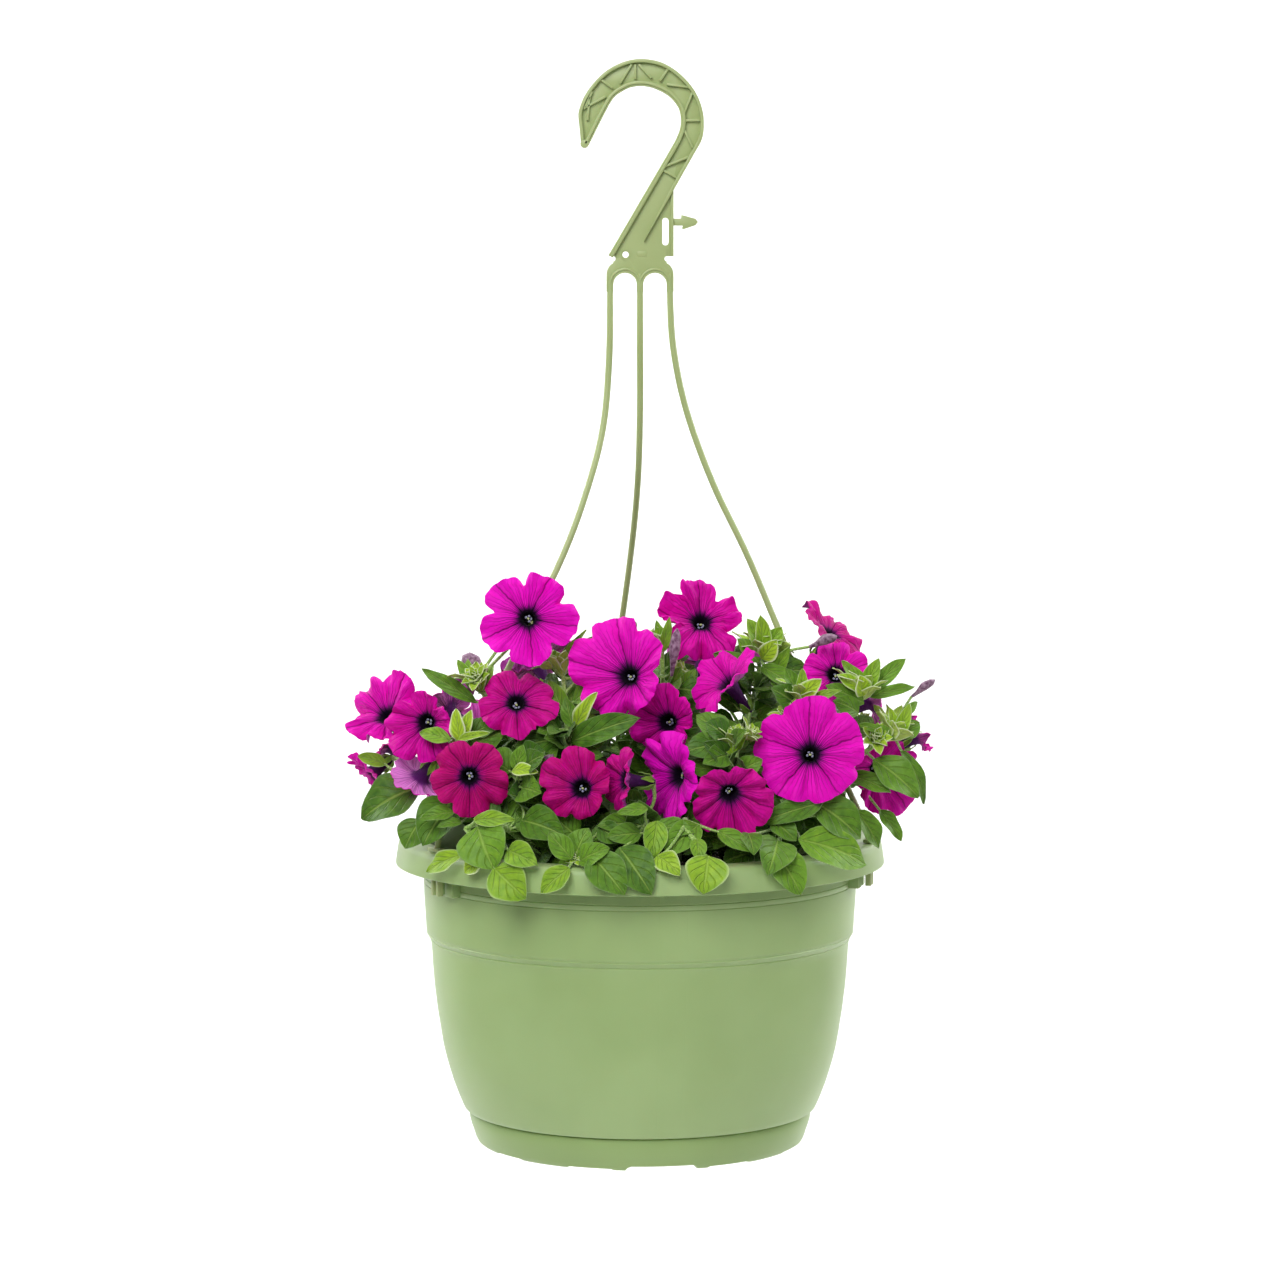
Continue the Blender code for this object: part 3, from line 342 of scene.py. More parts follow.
def rounded_box(bm, size, place, azimuth, rounding=0.35):
    """A small box of (across, out from the axis, up) millimetres with rounded edges."""
    matrix = Matrix.Translation(place) @ Matrix.Rotation(radians(azimuth), 4, "Z")
    made = bmesh.ops.create_cube(bm, size=MM, matrix=matrix @ Matrix.Diagonal((*size, 1)))
    edges = {edge for vert in made["verts"] for edge in vert.link_edges}
    bmesh.ops.bevel(bm, geom=list(edges), offset=rounding * MM, segments=2, profile=0.5,
                    affect="EDGES", material=-1)


def slab(bm, outline, thickness, rounding, offset=0.0):
    """A flat plate in the hook's plane, cut to an outline of (x, height), with rounded edges."""
    verts = [bm.verts.new(at(x, offset - thickness / 2, height)) for x, height in outline]
    edges = [bm.edges.new(pair) for pair in zip(verts, verts[1:] + verts[:1])]
    face = bmesh.ops.edgeloop_fill(bm, edges=edges)["faces"][0]
    made = bmesh.ops.extrude_face_region(bm, geom=[face])
    moved = [item for item in made["geom"] if isinstance(item, bmesh.types.BMVert)]
    bmesh.ops.translate(bm, verts=moved, vec=(0, thickness * MM, 0))
    faces = {f for vert in verts + moved for f in vert.link_faces}
    bmesh.ops.recalc_face_normals(bm, faces=list(faces))
    ends = [f for f in faces if len(f.verts) == len(outline)]
    if rounding:
        edges = {edge for end in ends for edge in end.edges}
        bmesh.ops.bevel(bm, geom=list(edges), offset=rounding * MM, segments=2, profile=0.5,
                        affect="EDGES", material=-1, clamp_overlap=True)


def smooth_path(points, per_span):
    """Places on a smooth curve through a list of places."""
    ends = [2 * points[0] - points[1], *points, 2 * points[-1] - points[-2]]
    path = []
    for a, b, c, d in zip(ends, ends[1:], ends[2:], ends[3:]):
        for k in range(per_span):
            t = k / per_span
            path.append(0.5 * (2 * b + (c - a) * t + (2 * a - 5 * b + 4 * c - d) * t ** 2
                               + (3 * b - a - 3 * c + d) * t ** 3))
    return [*path, points[-1]]


def tube(bm, path, radii, sides, material=0):
    """A closed tube along a path, its radius in millimetres running through a list of radii."""
    rings = []
    run = path[1] - path[0]
    side = run.cross(UP if abs(run.normalized().z) < 0.95 else Vector((1, 0, 0)))
    for k, place in enumerate(path):
        ahead = (path[min(k + 1, len(path) - 1)] - path[max(k - 1, 0)]).normalized()
        side = (side - side.dot(ahead) * ahead).normalized()
        up = ahead.cross(side)
        share = k / (len(path) - 1) * (len(radii) - 1)
        low = min(int(share), len(radii) - 2)
        radius = (radii[low] + (radii[low + 1] - radii[low]) * (share - low)) * MM
        turn = Matrix((side, up, ahead)).transposed().to_4x4()
        rings.append((Matrix.Translation(place) @ turn, radius))
    first = bmesh.ops.create_circle(bm, cap_ends=True, segments=sides, radius=1.0)["verts"]
    shape = [vert.co.copy() for vert in first]
    ring = first
    cap = next(iter(first[0].link_faces))
    cap.material_index = material
    for k, (matrix, radius) in enumerate(rings):
        if k:
            edges = [e for e in {e for v in ring for e in v.link_edges}
                     if e.verts[0] in ring and e.verts[1] in ring]
            made = bmesh.ops.extrude_edge_only(bm, edges=edges)["geom"]
            fresh = [item for item in made if isinstance(item, bmesh.types.BMVert)]
            for face in made:
                if isinstance(face, bmesh.types.BMFace):
                    face.material_index = material
            partner = {}
            for vert in ring:
                for edge in vert.link_edges:
                    other = edge.other_vert(vert)
                    if other in fresh:
                        partner[vert] = other
            ring = [partner[vert] for vert in ring]
        for vert, spot in zip(ring, shape):
            vert.co = matrix @ (spot * radius)
    last = [e for e in {e for v in ring for e in v.link_edges} if e.is_boundary]
    for face in bmesh.ops.edgeloop_fill(bm, edges=last)["faces"]:
        face.material_index = material


# ------------------------------------------------------------------ pot, saucer and soil


def groove(radius, height, depth=0.35, width=0.8):
    """Three points of a fine groove in a turned wall, from its upper edge down."""
    return [(radius, height + width / 2), (radius - depth, height), (radius, height - width / 2)]


def make_pot():
    """The pot: a thin bowed wall, a flange and a rounded collar that hangs from it."""
    inside = [(0, 11), (85.2, 11), (88.4, 13), (89.8, 17.4), (96.2, 20.8), (103.4, 40),
              (110.9, 73.8), (114.2, 111), (117.6, 128), (118, 148), (118.1, 168.2),
              (118.6, 169.1), (119.6, 169.5)]
    rim = [(124, 169.5), (130.6, 169.4), (132.2, 168.9), (133.3, 167.6), (133.9, 165.6),
           (134.6, 161), (135.3, 156.4), (135.2, 155.7), (134.6, 155.4), (133.7, 155.7),
           (132.9, 161), (132.2, 165.4), (131.4, 167), (129.8, 167.5), (121.6, 167.5),
           (120.3, 166.8), (119.9, 165.6)]
    outside = [*groove(119.95, 148.3), *groove(119.9, 145.3), (119.6, 137), (119.0, 128),
               (118.5, 119.4), *groove(118.3, 117.2), (117.6, 115.6), *groove(116.5, 113.8),
               (115.9, 111.8), (115.5, 108), (115.1, 101), (114.6, 94), (114.0, 87), (113.2, 80.6),
               (112.4, 73.8), (111.3, 67), (110.3, 60.3), (109.1, 53.5), (107.5, 46.7), (105.6, 40),
               (103.4, 33), (100.9, 26.4), (98.9, 21.6), (98.0, 19.6), (97.2, 18.7), (95.8, 18.5),
               (92.4, 18.5), (88.6, 8.8), (87.4, 8.2), (0, 8.2)]
    bm = bmesh.new()
    turned(bm, inside + rim + outside, STEPS)
    # Between two mould seams the collar's skirt stands a little further in.
    for vert in bm.verts:
        reach, azimuth = from_axis(vert.co)
        skirt = reach > SKIRT_REACH and vert.co.z < level(FLANGE_LEVEL)
        if skirt and SEAMS[0] < azimuth < SEAMS[1]:
            vert.co.x *= 1 - SEAM_STEP / reach
            vert.co.y *= 1 - SEAM_STEP / reach
    # Lugs moulded on the wall beside each clip, with fine ribs.
    for azimuth in CLIP_ANGLES:
        away = azimuth + 2.4
        rounded_box(bm, (7.6, 6.4, 8.6), round_axis(122.0, away, 149.6), away, 0.5)
        for k in range(3):
            away = azimuth - 2.6 - 1.25 * k
            rounded_box(bm, (1.1, 6.6, 9.5), round_axis(122.4, away, 150.2), away, 0.25)
        rounded_box(bm, (17, 5.0, 1.2), round_axis(121.4, azimuth, 154.6), azimuth, 0.3)
    return finish_piece("pot_moulding", bm, [POT], ["pot"], 40)


# Notches in each third of the standing ring: middle and half width in degrees, and depth.
NOTCHES = ((0, 12.5, 2.3), (-25, 8.5, 0.9), (25, 8.5, 0.9), (60, 7, 0.9))


def make_saucer():
    """The drip saucer, clipped on under the pot's shoulder, on a notched standing ring."""
    profile = [(0, 5.2), (85.5, 5.2), (90.0, 8.0), (91.8, 11), (93.4, 17.9), (94.2, 18.1),
               (95.0, 17.6), (95.2, 16.4), (94.7, 12.8), (93.8, 9.5), (92.6, 6.1), (91.6, 2.9),
               (90.6, 0.8), (89.6, 0.0), (87.4, 0.0), (86.4, 0.7), (85.2, 2.8), (0, 2.8)]
    bm = bmesh.new()
    turned(bm, profile, STEPS)
    # The standing ring is raised at the notches, each with a short ramp at its ends.
    for vert in bm.verts:
        height = vert.co.z / MM + SEAT_HEIGHT
        reach, azimuth = from_axis(vert.co)
        if height < RING_LEVEL and reach > RING_REACH:
            lift = 0.0
            for middle, half, depth in NOTCHES:
                off = abs((azimuth - NOTCH_TURN - middle + 60) % 120 - 60)
                lift = max(lift, depth * min(1.0, max(0.0, (half - off) / 1.2)))
            if height < lift:
                vert.co.z = level(lift)
    return finish_piece("drip_saucer_moulding", bm, [SAUCER], ["drip_saucer"], 30)


def make_soil():
    """Potting soil with an uneven, crumbly top."""
    bm = bmesh.new()
    rings = 34
    top = [(117.4 * k / rings, 149 + 5.5 * (1 - (k / rings) ** 2)) for k in range(rings + 1)]
    turned(bm, top + [(114, 111), (110.3, 73.8), (102.8, 40.4), (95.6, 21.6), (89.0, 18.1),
                      (85.0, 11.5), (0, 11.5)], 150)
    # Only the top is lumpy, up to its edge at the wall.
    for vert in bm.verts:
        if vert.co.z > level(148) and from_axis(vert.co)[0] < 117:
            vert.co.z += noise.fractal(vert.co * 160, 1.0, 2.0, 4) * CRUMB * MM
    return finish_piece("soil_fill", bm, [PEAT], ["potting_soil"], 60)


# ------------------------------------------------------------------ hanger


def arc(centre, radius, start, end, count):
    """Points on an arc between two angles in radians, both ends included."""
    x, height = centre
    steps = [start + (end - start) * k / count for k in range(count + 1)]
    return [(x + radius * cos(a), height + radius * sin(a)) for a in steps]


def circle(centre, radius):
    """Twenty points round a circle."""
    return arc(centre, radius, 0, 2 * pi, 20)[:-1]


PLATE_RIGHT = 18.4
PIN_HOLE = (-7.9, 490.3)
OUTER_EDGE = [(-32.4, 552.0), (-33.1, 559.5), (-33.7, 565.3), (-33.3, 568.9), (-31.0, 575.2),
              (-27.3, 581.1), (-21.9, 587.2), (-15.5, 592.0), (-7.3, 595.5), (0.9, 596.6),
              (9.1, 595.5), (15.5, 592.9), (21.9, 588.4), (28.3, 581.6), (32.4, 574.3),
              (34.5, 567.1), (34.9, 561.7), (34.6, 556.2), (33.3, 551.7), (30.5, 546.7),
              (24.6, 536.3), (18.4, 525.3)]
INNER_EDGE = [(-28.1, 549.7), (-25.5, 554.9), (-21.9, 562.1), (-19.1, 567.5), (-16.4, 572.5),
              (-13.7, 576.2), (-10.0, 578.9), (-5.5, 581.1), (0.0, 582.0), (5.5, 581.3),
              (10.9, 579.3), (15.5, 576.6), (19.1, 573.0), (21.4, 568.9), (22.3, 563.5),
              (21.7, 558.5), (20.1, 554.4), (17.3, 549.0), (0.0, 519.5), (-17.3, 490.0)]
TIP = (-30.3, 550.6)


def drawn_in(edge, inset):
    """An edge of the hook moved sideways, to the right of its run when the inset is positive."""
    line = [Vector(point) for point in edge]
    moved = []
    for k, place in enumerate(line):
        ahead = (line[min(k + 1, len(line) - 1)] - line[max(k - 1, 0)]).normalized()
        moved.append(place + Vector((ahead.y, -ahead.x)) * inset)
    return [tuple(place) for place in smooth_path(moved, 3)]


def bar(start, end, width):
    """The outline of a straight bar."""
    (x0, h0), (x1, h1) = start, end
    length = sqrt((x1 - x0) ** 2 + (h1 - h0) ** 2)
    dx, dh = -(h1 - h0) / length * width / 2, (x1 - x0) / length * width / 2
    return [(x0 + dx, h0 + dh), (x1 + dx, h1 + dh), (x1 - dx, h1 - dh), (x0 - dx, h0 - dh)]


# The bracing ribs inside the hook, end to end.
RIBS = [((-30.0, 570.2), (-18.7, 576.3)), ((-28.7, 563.3), (-27.5, 576.0)),
        ((-30.4, 569.4), (-26.1, 579.0)), ((-21.9, 585.8), (-14.9, 580.8)),
        ((-4.6, 593.6), (-10.9, 583.4)), ((-2.6, 593.6), (-2.6, 585.6)),
        ((-0.7, 593.6), (6.2, 586.2)), ((15.5, 591.4), (10.7, 584.6)),
        ((14.6, 582.8), (27.8, 581.2)), ((28.6, 578.4), (23.8, 566.6)),
        ((23.6, 563.2), (32.9, 563.4)), ((23.6, 559.2), (28.9, 548.2)),
        ((26.4, 543.4), (12.6, 538.0)), ((11.4, 537.0), (20.2, 532.0))]

# A pointed finger that stands out of the plate's right edge.
ARROW = [(17.6, 510.0), (22.4, 510.0), (22.6, 511.9), (24.2, 511.6), (30.4, 509.9), (31.8, 508.1),
         (30.4, 506.3), (24.2, 504.2), (22.8, 504.4), (23.4, 506.1), (17.6, 506.1)]

# The middle lines of the three arms, from the plate down to their clips.
ARM_PATHS = [
    [(-16.2, 0, 480), (-16.4, 0, 469.7), (-16.9, -1.5, 434), (-20.1, -7, 397), (-28.4, -17, 364),
     (-42.0, -29, 327), (-65, -43, 280), (-88, -56, 232), (-105, -66, 190)],
    [(16.4, 0, 480), (16.4, 0, 469.7), (18.2, -0.6, 440), (25.5, -2.6, 405), (40.1, -6.5, 365),
     (60.2, -12, 323), (84.5, -18, 265), (105, -23.5, 218), (120, -27.5, 186)],
    [(0, 0, 480), (0, 0, 469.7), (0, 2, 440), (0, 10, 405), (-1.2, 27, 365),
     (-5.1, 51, 323), (-13, 80, 265), (-21, 103, 218), (-27, 119, 186)],
]


def make_hanger():
    """The hanger: one moulding of a ribbed hook, a plate with two arches, and three arms."""
    bm = bmesh.new()
    quarter = pi / 2
    shoulder = radians(62)
    right = [(PLATE_RIGHT, 489.4), (14.8, 489.4), *arc((14.8, 488.0), 1.4, quarter, 3 * quarter, 6),
             *arc((PLATE_RIGHT - 7, 479.6), 7, shoulder, 0, 6), (PLATE_RIGHT, 470),
             (14.6, 470)]
    arches = [*arc((8.2, 473.9), 6.4, 0, pi, 14), (1.8, 470), (-1.8, 470),
              *arc((-8.2, 473.9), 6.4, 0, pi, 14)]
    left = [(-14.6, 470), (-PLATE_RIGHT, 470),
            *arc((7 - PLATE_RIGHT, 479.6), 7, pi, pi - shoulder, 6),
            *arc((-14.8, 488.0), 1.4, -quarter, quarter, 6), (-17.0, 489.5)]
    tip = arc(TIP, 2.3, radians(-27), radians(-165), 8)
    outline = drawn_in(OUTER_EDGE, 0) + right + arches + left + drawn_in(INNER_EDGE, 0)[::-1] + tip
    slab(bm, outline, WEB, 0.3)
    # The holes are cut through the plate while it is still the only shell.
    drill = bmesh.new()
    slab(drill, [*arc((13.9, 508.6), 1.75, 0, pi, 10), *arc((13.9, 497.1), 1.75, pi, 2 * pi, 10)],
         12, 0)
    slab(drill, circle(PIN_HOLE, 1.7), 12, 0)
    blank, cutter = as_object("plate_blank", bm), as_object("hole_cutters", drill)
    holes = blank.modifiers.new("holes", "BOOLEAN")
    holes.operation = "DIFFERENCE"
    holes.solver = "EXACT"
    holes.object = cutter
    bpy.context.view_layer.update()
    shown = blank.evaluated_get(bpy.context.evaluated_depsgraph_get())
    bm = bmesh.new()
    bm.from_mesh(bpy.data.meshes.new_from_object(shown))
    for one in (blank, cutter):
        bpy.data.objects.remove(one)
    # Flanges along both edges. In the throat a rounded bead doubles the inner one.
    outer = [*drawn_in(OUTER_EDGE, 0), (2.2, 497.6), *drawn_in(OUTER_EDGE, 1.9)[::-1]]
    slab(bm, outer, FLANGE_DEPTH, 0.3)
    slab(bm, [*drawn_in(INNER_EDGE, 0), *drawn_in(INNER_EDGE, -1.3)[::-1]], 6.0, 0.55)
    slab(bm, [*drawn_in(INNER_EDGE, -1.1), *drawn_in(INNER_EDGE, -2.7)[::-1]], FLANGE_DEPTH, 0.3)
    slab(bm, circle(TIP, 2.3), FLANGE_DEPTH, 0.5)
    for start, end in RIBS:
        slab(bm, bar(start, end, 1.25), 6.6, 0.25)
    slab(bm, bar((PLATE_RIGHT - 0.75, 526), (PLATE_RIGHT - 0.75, 489.5), 1.5), 5.0, 0.3)
    slab(bm, ARROW, 1.9, 0.25)
    # A raised rim round the pin hole and a small plain pad, both sides.
    rim = circle(PIN_HOLE, 2.7)
    for face in (-1, 1):
        for start, end in zip(rim, rim[1:] + rim[:1]):
            slab(bm, bar(start, end, 0.7), 0.5, 0.0, face * 1.2)
        slab(bm, [(-1.4, 489.4), (3.6, 489.4), (3.6, 492.2), (-1.4, 492.2)], 0.5, 0.15, face * 1.15)
    # Beads that follow the arches, and the legs thickened into arms.
    for middle in (-8.2, 8.2):
        line = [(middle + 8.2, 470), *arc((middle, 474.2), 8.2, 0, pi, 16), (middle - 8.2, 470)]
        bead = [at(x, 0, height) for x, height in line]
        for face in (-1, 1):
            tube(bm, [p + Vector((0, face * 1.0 * MM, 0)) for p in bead], [0.8, 0.8], 8)
    for path, azimuth in zip(ARM_PATHS, CLIP_ANGLES):
        places = [at(*point) for point in path]
        places.append(round_axis(CLIP_RADIUS, azimuth, 170.8))
        tube(bm, smooth_path(places, 6), [1.6, 1.85, 1.8, 1.75, 1.7, 1.7], 12)
        rounded_box(bm, (11.5, 5.2, 2.0), round_axis(CLIP_RADIUS, azimuth, 170.9), azimuth, 0.5)
        rounded_box(bm, (7.8, 3.2, 9.0), round_axis(CLIP_RADIUS, azimuth, 166.0), azimuth, 0.4)
        turn = Matrix.Rotation(radians(azimuth), 4, "Z")
        # Two prongs, each with a barb.
        for side in (-1, 1):
            for off, size, height in ((2.7, (2.5, 3.2, 20), 156), (4.1, (1.8, 3.2, 3.0), 164.8)):
                away = turn @ Vector((side * off * MM, 0, 0))
                rounded_box(bm, size, round_axis(CLIP_RADIUS, azimuth, height) + away, azimuth)
    bmesh.ops.recalc_face_normals(bm, faces=bm.faces)
    return finish_piece("hanger_moulding", bm, [HANGER],
                        ["hanger_hook", "hanger_arm_left", "hanger_arm_right", "hanger_arm_back"],
                        40)


# ------------------------------------------------------------------ petunias
# Each shoot: its stem's points from the soil to its tip, then its leaves as
# (base x, y, height, tip x, y, height, width, age), age running from 0, old, to 1, new growth.

SHOOTS = {
    "far_left": ([(-42, -12, 152), (-80, -30, 180), (-112, -42, 200), (-136, -44, 212)], [
        (-119, -50, 203, -151, -50, 185, 24, 0.1), (-138, -40, 214, -154, -35, 218, 7, 0.6),
        (-118, -60, 186, -127, -64, 171, 16, 0.2)]),
    "left_up": ([(-34, -26, 152), (-58, -46, 200), (-76, -62, 238), (-88, -62, 262)], [
        (-88, -62, 250, -118, -52, 267, 8, 0.3), (-89, -63, 258, -98, -60, 273, 6, 0.5),
        (-86, -64, 256, -85, -64, 272, 8, 0.95), (-84, -62, 256, -79, -58, 270, 5, 0.5),
        (-90, -61, 257, -93, -56, 273, 6, 0.5)]),
    "left_front": ([(-50, -36, 152), (-74, -56, 182), (-90, -64, 205), (-98, -70, 232)], [
        (-100, -76, 200, -116, -90, 176, 22, 0.15), (-99, -90, 194, -117, -95, 191, 8, 0.35),
        (-95, -92, 189, -108, -96, 187, 5, 0.3), (-101, -78, 232, -118, -70, 235, 8, 0.55),
        (-96, -82, 231, -98, -82, 249, 8, 1.0), (-95, -80, 231, -90, -80, 248, 7, 0.95),
        (-90, -78, 234, -72, -76, 243, 11, 0.15), (-97, -86, 233, -80, -92, 237, 4, 0.8)]),
    "left_over_rim": ([(-44, -56, 152), (-66, -86, 181), (-82, -101, 190), (-93, -102, 187)], [
        (-86, -106, 189, -77, -117, 167, 25, 0.4), (-88, -106, 192, -66, -112, 193, 8, 0.6),
        (-70, -114, 177, -54, -128, 171, 14, 0.55), (-77, -117, 168, -60, -127, 153, 20, 0.6),
        (-94, -100, 173, -114, -84, 161, 10, 0.7), (-84, -110, 172, -93, -107, 164, 9, 0.9)]),
    "left_tip": ([(-32, -44, 152), (-52, -72, 184), (-65, -84, 203), (-64, -90, 219)], [
        (-63, -98, 191, -40, -108, 184, 19, 0.15), (-68, -94, 217, -54, -102, 217, 7, 0.9),
        (-66, -92, 217, -62, -96, 231, 8, 0.4), (-66, -90, 203, -51, -92, 200, 7, 0.3),
        (-65, -85, 206, -48, -80, 208, 8, 0.2)]),
    "centre_left": ([(-22, -38, 152), (-32, -58, 195), (-38, -72, 225), (-40, -62, 248),
                     (-42, -52, 268)], [
        (-35, -76, 237, -23, -86, 258, 8, 0.95), (-36, -76, 238, -40, -74, 254, 8, 0.25),
        (-37, -82, 231, 0, -92, 245, 14, 0.1), (-40, -74, 232, -67, -80, 228, 13, 0.1),
        (-40, -66, 244, -49, -62, 262, 10, 0.4), (-42, -50, 264, -33, -48, 285, 7, 0.3),
        (-42, -52, 266, -29, -45, 288, 5, 0.5), (-42, -52, 264, -48, -46, 277, 8, 0.5)]),
    "rosette": ([(-18, -58, 152), (-28, -92, 178), (-34, -122, 174)], [
        (-36, -126, 174, -48, -124, 188, 11, 0.35), (-34, -124, 175, -27, -122, 190, 13, 0.3),
        (-32, -127, 173, -16, -134, 181, 12, 0.4), (-37, -131, 170, -52, -132, 157, 12, 0.6),
        (-26, -130, 177, -8, -141, 157, 19, 0.2), (-22, -112, 189, -10, -116, 182, 12, 0.1)]),
    "centre_low": ([(0, -48, 152), (0, -78, 182), (2, -104, 190), (6, -114, 186)], [
        (-11, -124, 180, 6, -138, 157, 20, 0.1), (9, -116, 193, 6, -126, 174, 12, 0.55),
        (-17, -106, 188, -1, -112, 179, 10, 0.05), (4, -112, 200, -12, -116, 198, 6, 0.4),
        (3, -104, 190, -8, -106, 184, 12, 0.0)]),
    "centre_right_low": ([(20, -52, 152), (22, -82, 184), (24, -106, 192), (22, -118, 188)], [
        (31, -110, 190, 13, -124, 176, 15, 0.35), (9, -127, 176, 21, -137, 167, 12, 0.75),
        (36, -127, 176, 33, -136, 157, 21, 0.66), (30, -120, 184, 31, -128, 173, 8, 0.5),
        (41, -112, 187, 59, -120, 177, 9, 0.4)]),
    "right_centre": ([(34, -38, 152), (44, -62, 190), (50, -84, 215), (50, -88, 232)], [
        (41, -90, 219, 34, -92, 230, 7, 0.4), (49, -90, 225, 43, -92, 234, 4, 0.7),
        (50, -90, 226, 56, -92, 235, 4, 0.7), (50, -90, 228, 47, -92, 239, 4, 0.7),
        (48, -76, 226, 35, -66, 230, 9, 0.1), (52, -94, 216, 65, -96, 223, 11, 0.3),
        (53, -74, 224, 70, -68, 240, 13, 0.2)]),
    "centre_up": ([(4, -22, 152), (8, -34, 200), (12, -44, 245), (12, -42, 280)], [
        (12, -44, 278, 9, -45, 293, 5, 0.5), (12, -44, 276, 16, -46, 295, 5, 0.5),
        (11, -42, 276, 7, -42, 287, 4, 0.5), (17, -48, 258, 22, -50, 268, 8, 0.3),
        (22, -48, 255, 30, -50, 267, 7, 0.3)]),
    "right_up": ([(30, -14, 152), (48, -22, 205), (62, -32, 250), (66, -38, 276)], [
        (66, -42, 275, 58, -44, 294, 10, 0.6), (66, -42, 276, 65, -46, 296, 9, 0.7),
        (67, -40, 275, 77, -40, 289, 10, 0.6), (66, -44, 272, 74, -50, 283, 10, 0.95),
        (64, -42, 270, 53, -42, 283, 9, 0.4), (62, -38, 262, 40, -45, 275, 12, 0.2),
        (70, -42, 262, 81, -48, 279, 7, 0.5), (66, -46, 268, 85, -64, 257, 10, 0.3)]),
    "right": ([(48, -32, 152), (66, -50, 195), (82, -62, 228), (87, -66, 254)], [
        (85, -68, 253, 97, -76, 264, 9, 0.95), (86, -68, 254, 87, -68, 269, 6, 0.6),
        (85, -66, 252, 78, -66, 269, 9, 0.3), (84, -66, 249, 70, -74, 259, 13, 0.1),
        (88, -70, 250, 108, -74, 258, 5, 0.6)]),
    "right_far_up": ([(50, -14, 152), (84, -34, 200), (108, -52, 232), (119, -52, 254)], [
        (121, -54, 255, 109, -56, 272, 8, 0.5), (121, -56, 255, 106, -60, 265, 8, 0.8),
        (121, -52, 256, 129, -52, 273, 8, 0.6), (120, -57, 253, 118, -64, 265, 10, 0.95),
        (121, -56, 249, 100, -58, 259, 9, 0.3), (118, -58, 244, 104, -62, 251, 11, 0.25),
        (126, -48, 256, 144, -42, 272, 8, 0.4), (124, -50, 252, 149, -45, 257, 6, 0.4)]),
    "far_right": ([(58, -24, 152), (92, -38, 192), (118, -46, 218), (137, -48, 232)], [
        (139, -50, 230, 146, -50, 248, 7, 0.7), (139, -50, 231, 135, -52, 246, 6, 0.8),
        (140, -48, 230, 152, -42, 237, 10, 0.35), (138, -52, 229, 118, -60, 238, 6, 0.4),
        (140, -46, 240, 151, -38, 248, 5, 0.4), (126, -60, 219, 150, -66, 199, 18, 0.25),
        (114, -60, 210, 135, -68, 202, 10, 0.35), (142, -40, 222, 155, -32, 191, 8, 0.2),
        (130, -42, 190, 142, -45, 173, 8, 0.3)]),
    "right_low": ([(60, -48, 152), (74, -78, 184), (94, -80, 192), (112, -70, 190)], [
        (116, -66, 192, 129, -62, 171, 12, 0.3), (93, -84, 199, 118, -84, 179, 20, 0.2),
        (97, -90, 199, 63, -98, 189, 12, 0.15), (70, -94, 190, 83, -100, 180, 12, 0.2),
        (84, -99, 181, 121, -84, 165, 20, 0.45), (71, -110, 176, 85, -113, 153, 18, 0.4),
        (73, -102, 181, 67, -123, 165, 20, 0.25), (57, -112, 186, 60, -124, 176, 11, 0.2)]),
    "back_left": ([(-50, 22, 152), (-92, 42, 186), (-118, 52, 222)], []),
    "back_far_left": ([(-34, 42, 152), (-54, 66, 188), (-66, 72, 216)], []),
    "back": ([(8, 52, 152), (12, 84, 196), (14, 96, 240)], []),
    "back_right": ([(36, 44, 152), (64, 74, 192), (84, 86, 226)], []),
    "back_far_right": ([(58, 16, 152), (98, 30, 190), (124, 36, 226)], []),
    "crown": ([(-6, 14, 152), (-12, 20, 220), (-14, 22, 270)], []),
}

# Buds: the shoot that each is on, its base, its pointed end, its width and whether it has wilted.
BUDS = [("left_tip", (-58, -88, 215), (-46, -90, 225), 5, True),
        ("centre_up", (17, -58, 264), (20, -61, 290), 6, True),
        ("right_up", (92, -38, 278), (107, -40, 284), 6, True),
        ("far_right", (148, -32, 250), (161, -28, 259), 5, True),
        ("left_up", (-84, -30, 262), (-97, -24, 272), 10, True)]

